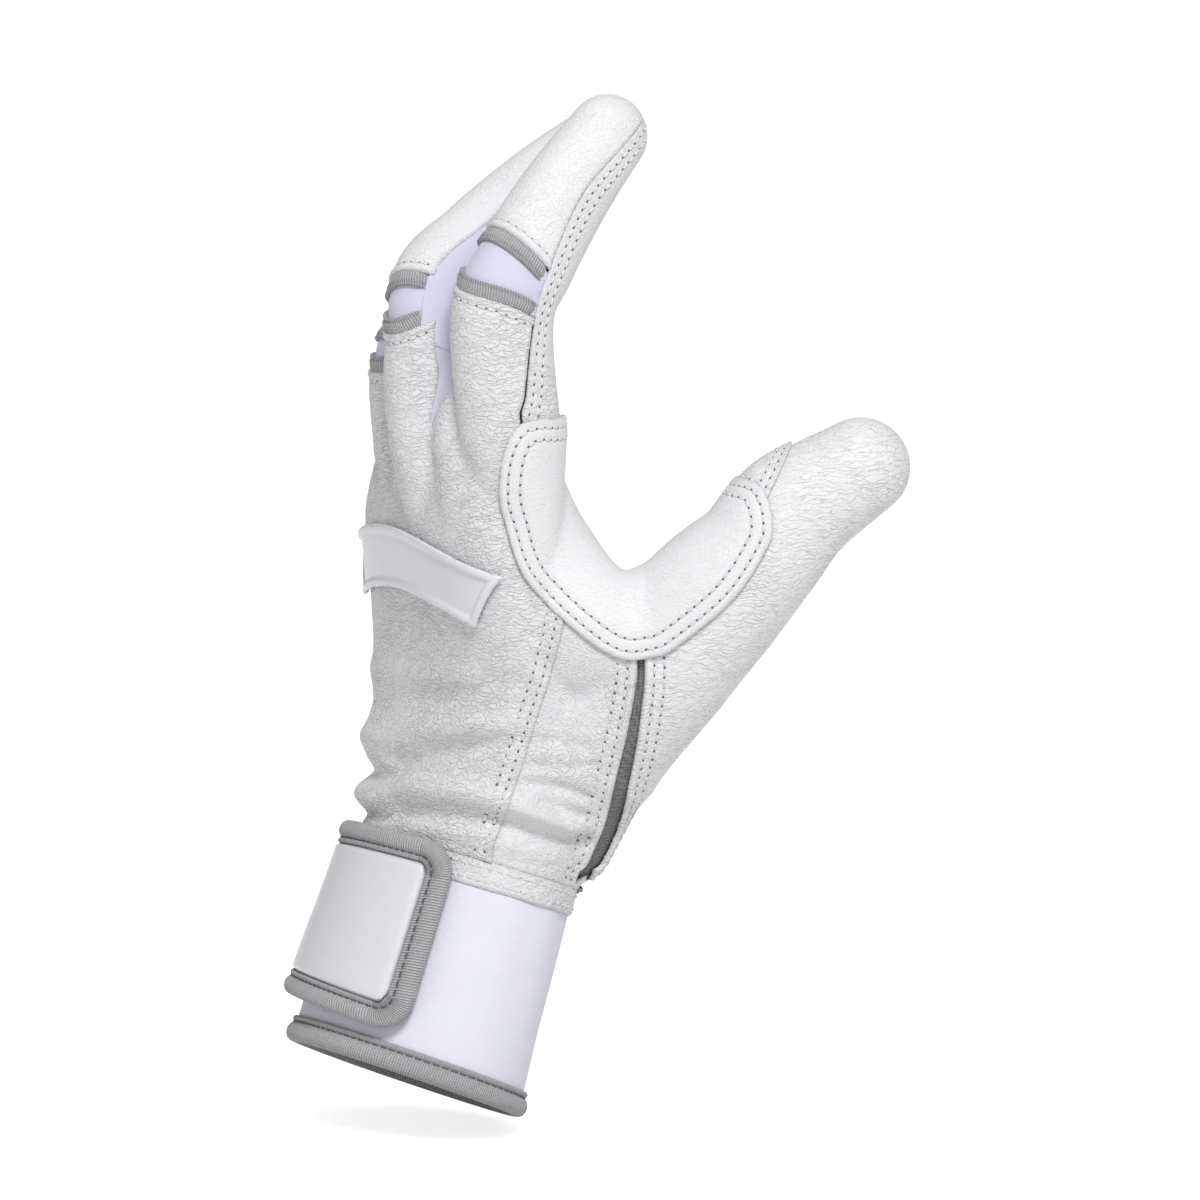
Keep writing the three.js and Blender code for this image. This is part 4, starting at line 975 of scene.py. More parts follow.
@dataclass
class Stitcher:
    """Sews rows of stitches onto a sheet."""

    radius: float = 0.35
    share: float = 0.74
    sink: float = 0.06
    hole: float = 0.42
    hole_depth: float = 0.3

    def template(self) -> Mesh:
        """Returns one stitch of unit length along X, a slim rounded pellet."""
        shape = bmesh.new()
        bmesh.ops.create_uvsphere(shape, u_segments=6, v_segments=5, radius=0.5)
        bmesh.ops.rotate(shape, cent=(0, 0, 0), matrix=Matrix.Rotation(math.pi / 2, 3, "Y"),
                         verts=shape.verts)
        for vert in shape.verts:
            vert.co.x = math.copysign(abs(vert.co.x * 2) ** 0.6 / 2, vert.co.x)
        return loose_mesh("stitch", shape)

    @staticmethod
    def pit() -> Mesh:
        """Returns one needle hole of unit radius, a low six-sided button that takes the second material,
        whose dark colour paints the shade inside the hole.
        """
        shape = bmesh.new()
        bmesh.ops.create_cone(shape, cap_ends=True, segments=6, radius1=1.0, radius2=0.75, depth=0.3)
        for face in shape.faces:
            face.material_index = 1
        return loose_mesh("pit", shape)

    @staticmethod
    def trace(shape: BMesh, value: Array) -> List[Array]:
        """Follows the line where a value passes zero.

        Args:
            shape: the sheet.
            value: one number for each vertex.

        Returns:
            Polylines as rows of place and normal.
        """
        shape.verts.index_update()
        crossing: Dict[bmesh.types.BMEdge, Array] = {}
        ends: Dict[bmesh.types.BMEdge, List[bmesh.types.BMEdge]] = {}
        for face in shape.faces:
            here = []
            for edge in face.edges:
                a, b = edge.verts
                fa, fb = value[a.index], value[b.index]
                if (fa > 0) == (fb > 0):
                    continue
                if edge not in crossing:
                    share = fa / (fa - fb)
                    spot = a.co.lerp(b.co, float(share))
                    normal = a.normal.lerp(b.normal, float(share))
                    crossing[edge] = np.array([*spot, *normal])
                here.append(edge)
            if len(here) == 2:
                ends.setdefault(here[0], []).append(here[1])
                ends.setdefault(here[1], []).append(here[0])
        lines = []
        left = set(ends)
        starts = [e for e in ends if len(ends[e]) == 1] + list(ends)
        for start in starts:
            if start not in left:
                continue
            left.discard(start)
            line, here = [crossing[start]], start
            while True:
                onward = [e for e in ends[here] if e in left]
                if not onward:
                    break
                here = onward[0]
                left.discard(here)
                line.append(crossing[here])
            if len(line) > 3:
                lines.append(np.array(line))
        return lines

    @staticmethod
    def resample(line: Array, pitch: float) -> Array:
        """Returns a polyline's rows at an even pitch."""
        steps = np.linalg.norm(np.diff(line[:, :3], axis=0), axis=1)
        run = np.concatenate([[0.0], np.cumsum(steps)])
        count = int(run[-1] / pitch)
        if count < 2:
            return np.empty((0, 6))
        at = np.linspace(0, run[-1], count + 1)
        return np.column_stack([np.interp(at, run, line[:, k]) for k in range(6)])

    def sew(self, sheet: Sheet, rows: Sequence[StitchRow], materials: Sequence[Material],
            bend: Optional[Bend] = None) -> None:
        """Adds the stitches of one sheet as one piece.

        Args:
            sheet: the shaped sheet, not yet put in the scene.
            rows: the rows to sew.
            materials: the finishes of the thread and of the painted shade in the needle holes.
            bend: where the sheet bends, if it crosses a joint.
        """
        template, pit = self.template(), self.pit()
        whole = bmesh.new()
        for row in rows:
            gap = sheet.edge_gap(row.kinds)
            for line in self.trace(sheet.shape, gap - row.inset):
                rounded = self.smooth(line)
                spots = self.resample(rounded, row.pitch)
                for a, b in zip(spots[:-1], spots[1:]):
                    middle = (a + b) / 2
                    if row.only is not None and row.only(middle[None, :3])[0] < 0:
                        continue
                    self.lay(whole, template, a, b)
                    self.pierce(whole, pit, a, b)
        bpy.data.meshes.remove(template)
        bpy.data.meshes.remove(pit)
        if not whole.verts:
            whole.free()
            LOG.warning("%s: no stitches", sheet.name)
            return
        piece = shaped_object(f"{sheet.name}_stitches", whole)
        for material in materials:
            piece.data.materials.append(material)
        place_piece(piece, sheet.body, (), bend)

    @staticmethod
    def smooth(line: Array) -> Array:
        """Returns a polyline with its small kinks evened out."""
        out = line.copy()
        for _ in range(4):
            out[1:-1] = (out[:-2] + 2 * out[1:-1] + out[2:]) / 4
        return out

    def lay(self, whole: BMesh, template: Mesh, a: Array, b: Array) -> None:
        """Lays one stitch between two rows of place and normal.

        Args:
            whole: the stitches so far.
            template: one stitch of unit length.
            a: where it starts.
            b: where it ends.
        """
        middle = (a + b) / 2
        way = b[:3] - a[:3]
        length = float(np.linalg.norm(way))
        if length < 0.4:
            return
        along = way / length
        normal = unit(middle[3:] - along * (middle[3:] @ along))
        aside = np.cross(normal, along)
        centre = middle[:3] + normal * (self.radius * 0.5 - self.sink)
        ways = (along * length * self.share, aside * self.radius * 2, normal * self.radius * 1.6)
        turn = matrix_of(ways, centre)
        template.transform(turn)
        whole.from_mesh(template)
        template.transform(turn.inverted())

    def pierce(self, whole: BMesh, pit: Mesh, a: Array, b: Array) -> None:
        """Puts the needle hole, a dark button of painted shade, at the start of a stitch.

        Args:
            whole: the stitches so far.
            pit: one hole of unit radius.
            a: where the stitch starts.
            b: where it ends.
        """
        along = unit(b[:3] - a[:3])
        normal = unit(a[3:] - along * (a[3:] @ along))
        aside = np.cross(normal, along)
        turn = matrix_of((along * self.hole, aside * self.hole, normal * self.hole_depth), a[:3])
        pit.transform(turn)
        whole.from_mesh(pit)
        pit.transform(turn.inverted())


# Ribbed bindings swept along a line


def swept(
    line: Array,
    section: Outline,
    closed: bool = False,
    ends: bool = True,
) -> BMesh:
    """Sweeps a closed section along a line on a surface.

    Args:
        line: rows of place and normal.
        section: corners as aside and upward millimetres, in order round it.
        closed: True if the line is a loop.
        ends: True to close the two ends with rounded caps.

    Returns:
        The swept body, with a UV map of run and girth in millimetres.
    """
    spots, normals = line[:, :3], unit(line[:, 3:])
    if closed:
        ways = unit(np.roll(spots, -1, 0) - np.roll(spots, 1, 0))
    else:
        ways = unit(np.gradient(spots, axis=0))
    normals = unit(normals - ways * (normals * ways).sum(1)[:, None])
    aside = np.cross(normals, ways)
    steps = np.linalg.norm(np.diff(np.vstack([spots, spots[:1]]) if closed else spots, axis=0), axis=1)
    run = float(steps.sum())
    shape_line = np.array(section, dtype=float)
    girth = float(np.linalg.norm(np.diff(np.vstack([shape_line, shape_line[:1]]), axis=0), axis=1).sum())
    rows = len(spots) if closed else len(spots) - 1

    def place(along: Array, around: Array) -> Points:
        """Returns places for shares along the line and around the section."""
        k = np.rint(along * rows).astype(int)
        end = (k == 0) | (k == rows)
        k = k % len(spots)
        j = np.rint(around * len(shape_line)).astype(int) % len(shape_line)
        corner = shape_line[j]
        if not closed and ends:
            corner = np.where(end[:, None], shape_line.mean(0), corner)
        return spots[k] + aside[k] * corner[:, :1] + normals[k] * corner[:, 1:]

    return wrapped_grid(rows, len(shape_line), place, weld=0.005, run=run, width=girth)


# Pattern lines, in millimetres on the picture plane unless said otherwise


@dataclass(frozen=True)
class PatternLines:
    """The seam lines and patch outlines of the glove."""

    back_seam: Outline = (
        (17.0, 20.0), (18.0, 30.0), (19.6, 49.8), (21.8, 56.6), (28.9, 78.4), (36.3, 106.0), (33.4, 125.0),
        (26.9, 148.8), (27.6, 156.0), (29.7, 173.3), (34.0, 187.0), (41.0, 202.0), (55.0, 219.0), (60.0,
                240.0),
    )
    slit: Outline = (
        (36.0, 25.0), (40.6, 42.4), (43.1, 45.6), (47.0, 54.8), (49.3, 65.4), (52.0, 79.5), (53.6,
                96.0), (51.0, 115.0),
        (45.0, 237.0),
    )
    slit_half: Outline = ((40.0, 1.5), (50.0, 1.9), (68.0, 1.6), (82.0, 1.1), (96.0, 0.7))
    divider: Outline = (
        (-110.0, 5.0), (-10.1, 5.0), (12.6, 10.1), (26.0, 20.2), (110.0, 22.3),
    )
    web: Outline = (
        (25.0, 148.8), (30.0, 150.7), (36.0, 151.3), (48.0, 162.5), (48.0, 127.5), (66.0, 134.0), (79.0,
                135.4),
        (82.6, 132.0), (83.6, 126.3), (82.5, 121.3), (75.0, 109.8), (63.2, 99.4), (57.2, 95.9), (47.6, 95.9),
        (36.6, 103.6), (26.6, 114.3), (22.1, 128.8), (21.8, 140.8),
    )
    front_foot: float = 12.0

    def near_seam(self, points: Points, shift: float) -> Array:
        """Returns the signed distance from the thumb-side back seam, positive towards the back."""
        across, up, _ = side_plane(points)
        return side_of_line(across - shift, up, spline(self.back_seam))

    def back(self, points: Points, shift: float = 0.0) -> Array:
        """Returns the signed distance inside the back panel's region.

        Args:
            points: skin places.
            shift: how far the region grows past its seam.
        """
        out = side_plane(points)[2]
        plan = spline(self.divider)
        far = np.interp(points[:, 1], plan[:, 0], plan[:, 1]) + shift - points[:, 0]
        near = (out > 12.0) & ((points[:, 2] < 148.0) | (points[:, 1] < -30.5))
        return np.where(near, self.near_seam(points, shift), far)

    def beside_slit(self, points: Points, shift: float, halves: float = 0.0) -> Array:
        """Returns the signed distance to the back side of the slit's line.

        Args:
            points: skin places.
            shift: how far the line is moved across.
            halves: how many half widths of the slit it is moved as well.
        """
        across, up, _ = side_plane(points)
        half = np.array(self.slit_half)
        moved = across - shift - halves * np.interp(up, half[:, 0], half[:, 1])
        return side_of_line(moved, up, spline(self.slit))

    def in_web(self, points: Points) -> Array:
        """Returns the signed distance inside the web patch."""
        across, up, out = side_plane(points)
        return np.minimum(inside_outline(across, up, spline(self.web, closed=True, steps=5)), out - 1.5)


LINES = PatternLines()


@dataclass
class Pattern:
    """Fields that say which pattern piece a place on the skin belongs to."""

    form: HandForm
    fork_half: float = 2.3
    fork_bend: float = 4.4
    fork_foot: float = 145.8
    side_share: float = 0.8

    def fork(self, points: Points, which: int, grow: float = 0.0) -> Array:
        """Returns the signed distance inside a fork strip.

        Args:
            points: skin places.
            which: 0 for the strip between the index and middle fingers.
            grow: how far the strip grows.
        """
        first, second = self.form.fingers[which], self.form.fingers[which + 1]
        y = (first.y + second.y) / 2 + self.fork_bend * (1 - smooth_step(points[:, 2], 144.0, 160.0))
        share = smooth_step(points[:, 2], self.fork_foot - grow * 3, self.fork_foot + 14.0)
        return (self.fork_half + grow) * share - np.abs(points[:, 1] - y)

    def all_forks(self, points: Points, grow: float = 0.0) -> Array:
        """Returns the signed distance inside any fork strip."""
        return np.maximum.reduce([self.fork(points, k, grow) for k in range(3)])

    def wrist(self, points: Points) -> Array:
        """Returns the height above the wrist seam."""
        return (points - self.form.wrist) @ CUFF_AXIS

    def stall(self, points: Points, finger: Finger) -> Array:
        """Returns the signed distance inside a finger's slice of the hand."""
        row = self.form.fingers.index(finger)
        low = -200.0 if row == 0 else (finger.y + self.form.fingers[row - 1].y) / 2
        high = 200.0 if row == 3 else (finger.y + self.form.fingers[row + 1].y) / 2
        return np.minimum(points[:, 1] - low, high - points[:, 1])

    def above(self, points: Points, finger: Finger, angle: float, drop: float = 0.0) -> Array:
        """Returns the signed distance above a line through a finger's crease.

        Args:
            points: skin places.
            finger: the finger.
            angle: degrees that the line is turned about the crease, towards the tip on the back.
            drop: millimetres that the line lies below the crease.
        """
        at, back, along = finger.crease(self.form.wrist)
        rel = points - at
        turn = math.radians(angle)
        return (rel @ along + drop) * math.cos(turn) - (rel @ back) * math.sin(turn)

    def opening(self, points: Points, finger: Finger, upper: bool, shift: float = 0.0) -> Array:
        """Returns the signed distance above an edge of a finger's knuckle opening.

        Args:
            points: skin places.
            finger: the finger.
            upper: True for the edge towards the tip.
            shift: millimetres that the edge is moved towards the tip.
        """
        angle, drop, bow, middle = finger.high if upper else finger.low
        rise = bow * (points[:, 1] - finger.y - middle) ** 2 * math.cos(math.radians(angle))
        return self.above(points, finger, angle, drop) - rise - shift

    def root_below(self, points: Points, line: Callable[[Points, Finger], Array]) -> Array:
        """Returns the signed distance below a line of whichever finger a place is on.

        Args:
            points: skin places.
            line: gives the signed distance above a finger's line.
        """
        best = np.full(len(points), 1e3)
        for finger in self.form.fingers:
            best = np.where(self.stall(points, finger) > 0, -line(points, finger), best)
        return best

    def thumb_ahead(self, points: Points, drop: float) -> Array:
        """Returns the signed distance ahead of the thumb joint."""
        at, along, _, _ = self.form.thumb_tube().frame(THUMB_JOINT_SHARE)
        ahead = (points - at) @ along + drop
        return np.where(side_plane(points)[0] > 58.0, ahead, -50.0)


@dataclass
class HandPanels:
    """The sewn panels of the hand: back, palm, thumb side, thumb and the strips between the fingers."""

    form: HandForm
    pattern: Pattern
    finishes: "FinishSet"
    stitcher: Stitcher = field(default_factory=Stitcher)

    def make(self, sheet: Sheet, finish: Material, rows: Sequence[StitchRow] = (),
             bend: Optional[Bend] = None) -> None:
        """Cuts, shapes, sews and finishes one sheet.

        Args:
            sheet: the sheet to make.
            finish: its material.
            rows: its stitch rows.
            bend: where it bends, if it crosses a joint.
        """
        sheet.cut_from(self.form.skin, self.form.points)
        if sheet.refine > 0:
            sheet.refine_edges()
        sheet.shape_edges(rows)
        if rows:
            self.stitcher.sew(sheet, rows, (self.finishes.thread, self.finishes.needle_hole_shade), bend)
        sheet.finish(finish, bend)

    def sew_line(self, name: str, line: Array, body: Body, thread: Material) -> None:
        """Sews stitches from each place of a line to the next.

        Args:
            name: the piece's name.
            line: rows of place and normal, one stitch apart.
            body: the body it rides on.
            thread: its material.
        """
        template = self.stitcher.template()
        whole = bmesh.new()
        for a, b in zip(line[:-1], line[1:]):
            self.stitcher.lay(whole, template, a, b)
        bpy.data.meshes.remove(template)
        piece = shaped_object(name, whole)
        piece.data.materials.append(thread)
        place_piece(piece, body)

    def finger_bend(self, finger: Finger) -> Bend:
        """Returns where a finger's sheets bend, across its crease."""
        at, back, along = finger.crease(self.form.wrist)
        middle = at + back * finger.thick / 2
        return Bend(Body.GLOVE, finger.body, middle - along * BEND_REACH, middle + along * BEND_REACH)

    def build_back(self) -> None:
        """Builds the back panel."""
        pattern = self.pattern

        def inside(p: Points) -> Array:
            """Returns the signed distance inside the back, less a gap up the side of the index finger."""
            gap = 0.6 * smooth_step(p[:, 2], 124.0, 132.0)
            return LINES.back(p) - gap * (side_plane(p)[2] > 12.0)

        cuts = [
            Cut(inside, Edge.LAPPED),
            Cut(lambda p: -pattern.all_forks(p), Edge.BUTT),
            Cut(lambda p: pattern.root_below(p, lambda q, f: pattern.opening(q, f, False)), Edge.ROLLED),
            Cut(pattern.wrist, Edge.BUTT),
        ]
        rows = sewn_rows(Edge.LAPPED, 1.9, 4.2, only=lambda p: 126.0 - p[:, 2]) + sewn_rows(Edge.ROLLED, 2.2)
        sheet = Sheet("back_leather", Body.GLOVE, Slot.LEATHER, cuts, replaces=("back_panel",))
        self.make(sheet, self.finishes.back, rows)

    def build_side(self) -> None:
        """Builds the thumb-side panel between the back seam and the slit."""
        pattern = self.pattern
        cuts = [
            Cut(lambda p: -LINES.back(p, -3.0)),
            Cut(lambda p: LINES.beside_slit(p, 0.0, -1.0), Edge.ROLLED),
            Cut(lambda p: side_plane(p)[2] - 8.0),
            Cut(lambda p: 113.0 - p[:, 2]),
            Cut(pattern.wrist, Edge.BUTT),
        ]
        rows = sewn_rows(Edge.ROLLED, 2.3, 4.6)
        sheet = Sheet("side_leather", Body.GLOVE, Slot.LEATHER, cuts, replaces=("radial_side_panel",))
        self.make(sheet, self.finishes.side, rows)

    def build_thumb(self) -> None:
        """Builds the thumb's leather, which crosses its joint."""
        pattern = self.pattern
        cuts = [
            Cut(lambda p: np.maximum(-LINES.beside_slit(p, 0.0, 1.0), pattern.thumb_ahead(p, THUMB_EDGE)),
                Edge.ROLLED),
            Cut(lambda p: np.maximum(side_plane(p)[2] - 1.5, pattern.thumb_ahead(p, THUMB_EDGE)), Edge.BUTT),
            Cut(pattern.wrist, Edge.BUTT),
        ]
        rows = sewn_rows(Edge.ROLLED, 2.3, 4.6)
        sheet = Sheet("thumb_leather", Body.GLOVE, Slot.LEATHER, cuts, replaces=("thumb_shell", "thumb_tip"))
        self.make(sheet, self.finishes.thumb, rows, self.thumb_bend())

    def thumb_bend(self) -> Bend:
        """Returns where the thumb's sheets bend, across its joint."""
        at, along, _, _ = self.form.thumb_tube().frame(THUMB_JOINT_SHARE)
        return Bend(Body.GLOVE, Body.THUMB, at - along * BEND_REACH, at + along * BEND_REACH)

    def build_palm(self) -> None:
        """Builds the palm panel."""
        pattern = self.pattern

        def room(p: Points) -> Array:
            """Returns the signed distance outside the side and thumb panels."""
            out = side_plane(p)[2]
            side = np.minimum(np.minimum(LINES.beside_slit(p, 2.0), out - 8.0), 112.8 - p[:, 2])
            thumb = np.minimum(-LINES.beside_slit(p, 0.9), out - 1.5)
            return -np.maximum(side, thumb)

        cuts = [
            Cut(lambda p: -LINES.back(p), Edge.BUTT),
            Cut(room, Edge.BUTT),
            Cut(lambda p: -pattern.all_forks(p), Edge.BUTT),
            Cut(lambda p: pattern.root_below(p, lambda q, f: pattern.above(q, f, 0.0, LINES.front_foot))),
            Cut(lambda p: -pattern.thumb_ahead(p, THUMB_EDGE)),
            Cut(pattern.wrist, Edge.BUTT),
        ]
        rows = sewn_rows(Edge.BUTT, 1.8, 4.1, depth=0.15, only=self.on_strip)
        sheet = Sheet("palm_leather", Body.GLOVE, Slot.LEATHER, cuts, replaces=("palm_panel",))
        self.make(sheet, self.finishes.palm, rows)

    @staticmethod
    def on_strip(points: Points) -> Array:
        """Returns above zero on the strip up the thumb side of the index finger."""
        _, up, out = side_plane(points)
        return np.minimum(out - 14.0, np.minimum(up - 128.0, 6.5 - np.abs(LINES.near_seam(points, 0.0))))

    def build_slit(self) -> None:
        """Builds the mesh strip that shows in the slit beside the wrist."""
        pattern = self.pattern
        cuts = [
            Cut(lambda p: LINES.beside_slit(p, 5.0)),
            Cut(lambda p: -LINES.beside_slit(p, -5.0)),
            Cut(lambda p: side_plane(p)[2] + 2.0),
            Cut(lambda p: 110.0 - p[:, 2]),
            Cut(pattern.wrist),
        ]
        sheet = Sheet("slit_mesh", Body.GLOVE, Slot.MESH, cuts, thickness=0.7, lift=-1.2, refine=0.0,
                      replaces=("slit_gusset",))
        self.make(sheet, self.finishes.mesh)

    def build_forks(self) -> None:
        """Builds the stretch strips between the fingers."""
        pattern = self.pattern
        names = ("fork_index_middle", "fork_middle_ring", "fork_ring_little")
        for which, name in enumerate(names):
            cuts = [
                Cut(lambda p, w=which: pattern.fork(p, w, 1.2)),
                Cut(lambda p: pattern.root_below(p, lambda q, f: pattern.above(q, f, -7.5)), Edge.TUCKED),
                Cut(lambda p: p[:, 2] - 120.0),
            ]
            sheet = Sheet(name + "_cloth", Body.GLOVE, Slot.SPANDEX, cuts, thickness=0.8, lift=-0.5,
                          refine=0.0,
                          replaces=(name,))
            self.make(sheet, self.finishes.spandex)

    def build_web_patch(self) -> None:
        """Builds the thick patch between the thumb and the index finger."""
        pattern = self.pattern
        cuts = [
            Cut(LINES.in_web, Edge.RAW),
            Cut(lambda p: -pattern.fork(p, 0, 1.0), Edge.RAW),
        ]
        rows = sewn_rows(Edge.RAW, 2.1, 4.8)
        sheet = Sheet("web_leather", Body.GLOVE, Slot.LEATHER, cuts, thickness=1.3, lift=1.5, roll=0.55,
                      refine=7.0,
                      replaces=("web_patch",))
        self.make(sheet, self.finishes.web, rows)

    def build(self) -> None:
        """Builds every panel of the hand."""
        self.build_back()
        self.build_side()
        self.build_thumb()
        self.build_palm()
        self.build_slit()
        self.build_forks()
        self.build_web_patch()


@dataclass
class FingerEnds:
    """The end of each finger: leather back and front, stretch sides, the knuckle opening and its bindings."""

    hand: HandPanels
    section: Outline = (
        (-1.9, -1.2), (-1.9, -0.5), (-1.2, -0.1), (-0.3, 0.2), (0.5, 0.35), (0.95, 0.28), (1.15,
                0.08), (1.4, 0.32),
        (1.75, 0.4), (2.0, 0.12), (2.05, -0.4), (1.85, -0.9),
    )
    seam_drop: float = 2.8
    overrun: float = 30.0

    def build(self) -> None:
        """Builds the four finger ends."""
        for finger in self.hand.form.fingers:
            self.build_finger(finger)

    def back_of(self, points: Points, finger: Finger, shift: float) -> Array:
        """Returns the signed distance inside the back of a finger, down to its side seams."""
        tube = finger.tube(self.hand.form.wrist)
        at, along, _, thick = tube.frame(KNUCKLE_SHARE)
        line = []
        for k in range(2, 7):
            centre, _, _, out = tube.frame(k / 6)
            line.append(centre - out * (self.seam_drop * (k - 2) / 4))
        tip_at, tip_along, _, tip_out = tube.frame(1.0)
        line.insert(0, at - along * self.overrun)
        line.append(tip_at + tip_along * self.overrun - tip_out * self.seam_drop)
        height = np.full(len(points), -1e3)
        best = np.full(len(points), 1e9)
        for a, b in zip(line[:-1], line[1:]):
            way = unit(b - a)
            side = np.array([-way[2], 0.0, way[0]])
            side = side if side @ thick > 0 else -side
            share = np.clip((points - a) @ way, 0, np.linalg.norm(b - a))
            gap = points - (a + share[:, None] * way)
            far = np.hypot(gap[:, 0], gap[:, 2])
            height = np.where(far < best, gap @ side, height)
            best = np.minimum(best, far)
        edge = finger.wide / 2 * finger.girth * self.hand.pattern.side_share
        aside = points[:, 1] - finger.y
        if finger.row < -1:
            share = smooth_step(aside, -7.0, 1.0)
            height = height * share + LINES.near_seam(points, 0.0) * (1 - share)
        low = 1e3 if finger.row < -1 else edge + aside + shift
        high = 1e3 if finger.row > 1 else edge - aside + shift
        return np.minimum(np.minimum(height + shift, low), high)

    def build_finger(self, finger: Finger) -> None:
        """Builds one finger's end."""
        hand, pattern = self.hand, self.hand.pattern
        bend = hand.finger_bend(finger)
        name = finger.name
        own = [Cut(lambda p: pattern.stall(p, finger)), Cut(lambda p: pattern.above(p, finger, 0.0, 14.0))]
        edge = finger.wide / 2 * finger.girth * pattern.side_share
        cap = [Cut(lambda p: self.back_of(p, finger, 0.0), Edge.BUTT),
               Cut(lambda p: pattern.opening(p, finger, True), Edge.ROLLED), *own]
        hand.make(Sheet(name + "_cap_leather", finger.body, Slot.LEATHER, cap, replaces=(name + "_cap",)),
                  hand.finishes.finger(finger),
                  sewn_rows(Edge.ROLLED, 2.2))
        sides = [s for s in (-1, 1) if abs(finger.row + s) < 2]

        def front_room(p: Points) -> Array:
            """Returns the signed distance inside the palm side of the finger."""
            root = pattern.above(p, finger, 0.0) < 0
            back = np.where(root, LINES.back(p), self.back_of(p, finger, 0.0))
            room = -back
            for s in sides:
                room = np.minimum(room, edge - s * (p[:, 1] - finger.y))
            return room

        front = [Cut(front_room, Edge.BUTT), own[0],
                 Cut(lambda p: pattern.above(p, finger, 0.0, LINES.front_foot))]
        rows = sewn_rows(Edge.BUTT, 1.8, 4.1, depth=0.15)
        hand.make(Sheet(name + "_front_leather", finger.body, Slot.LEATHER, front,
                        replaces=(name + "_front",)),
                  hand.finishes.finger(finger), rows if finger.row < -1 else rows[:1], bend)
        for s in sides:
            side = [Cut(lambda p, s=s: s * (p[:, 1] - finger.y) - edge + 0.6), own[0],
                    Cut(lambda p: pattern.above(p, finger, 0.0, 13.5))]
            label = "outer" if s > 0 else "inner"
            hand.make(Sheet(f"{name}_{label}_cloth", finger.body, Slot.SPANDEX, side, thickness=0.8,
                            lift=-0.35,
                            refine=0.0, replaces=(f"{name}_{label}_side",)), hand.finishes.spandex, (), bend)
        self.build_opening(finger)

    def build_opening(self, finger: Finger) -> None:
        """Builds the stretch gusset of a knuckle opening and the two bindings along it."""
        hand, pattern = self.hand, self.hand.pattern
        name = finger.name
        cuts = [
            Cut(lambda p: self.back_of(p, finger, 2.6)), Cut(lambda p: pattern.stall(p, finger)),
            Cut(lambda p: pattern.opening(p, finger, False, 0.4)), Cut(lambda p: -pattern.opening(p, finger,
                    True, -0.4)),
        ]
        sheet = Sheet(name + "_gusset_cloth", Body.GLOVE, Slot.SPANDEX, cuts, thickness=0.7, lift=-0.8,
                      refine=0.0,
                      replaces=(name + "_knuckle_gusset",))
        sheet.cut_from(hand.form.skin, hand.form.points)
        sheet.shape.normal_update()
        middle = shape_places(sheet.shape).mean(0)
        for upper, label, body in ((True, "upper", finger.body), (False, "lower", Body.GLOVE)):
            value = pattern.opening(shape_places(sheet.shape), finger, upper, -1.45 if upper else 1.45)
            lines = hand.stitcher.trace(sheet.shape, value)
            if not lines:
                LOG.warning("%s: no line for its %s binding", name, label)
                continue
            line = hand.stitcher.resample(hand.stitcher.smooth(max(lines, key=len)), 0.7)
            roll = shaped_object(f"{name}_{label}_binding",
                                 swept(self.tucked(line, finger, middle), self.section))
            roll.data.materials.append(hand.finishes.binding)
            place_piece(roll, body, (f"{name}_{label}_tape",))
        sheet.shape_edges(())
        sheet.finish(hand.finishes.spandex, self.gusset_bend(finger))

    def gusset_bend(self, finger: Finger) -> Bend:
        """Returns where a knuckle gusset bends: from the lower edge of its opening to the upper one."""
        at, back, along = finger.crease(self.hand.form.wrist)
        turn = math.radians((finger.low[0] + finger.high[0]) / 2)
        way = along * math.cos(turn) - back * math.sin(turn)

        def edge(angle: float, drop: float, deep: float) -> float:
            """Returns how far along the way an edge lies at a depth from the crease."""
            slope = math.radians(angle)
            return float((back * deep + along * (deep * math.tan(slope) - drop / math.cos(slope))) @ way)

        first = max(edge(*finger.low[:2], deep) for deep in (8.0, 24.0))
        last = min(edge(*finger.high[:2], deep) for deep in (8.0, 24.0))
        return Bend(Body.GLOVE, finger.body, at + way * first, at + way * max(last, first + 2.0))

    def tucked(self, line: Array, finger: Finger, middle: Array) -> Array:
        """Turns a binding's line so that its free edge faces the opening, and tucks its ends in.

        Args:
            line: rows of place and normal.
            finger: the finger.
            middle: the middle of the opening.

        Returns:
            The line, turned and tucked.
        """
        k = len(line) // 2
        aside = np.cross(line[k, 3:], line[k + 1, :3] - line[k - 1, :3])
        line = line if aside @ (middle - line[k, :3]) > 0 else line[::-1].copy()
        inside = self.back_of(line[:, :3], finger, 0.0)
        depth = 1.5 * (1 - smooth_step(inside, -0.4, 2.2))
        line[:, :3] -= unit(line[:, 3:]) * depth[:, None]
        return line


# Cuff, hem and wrist strap


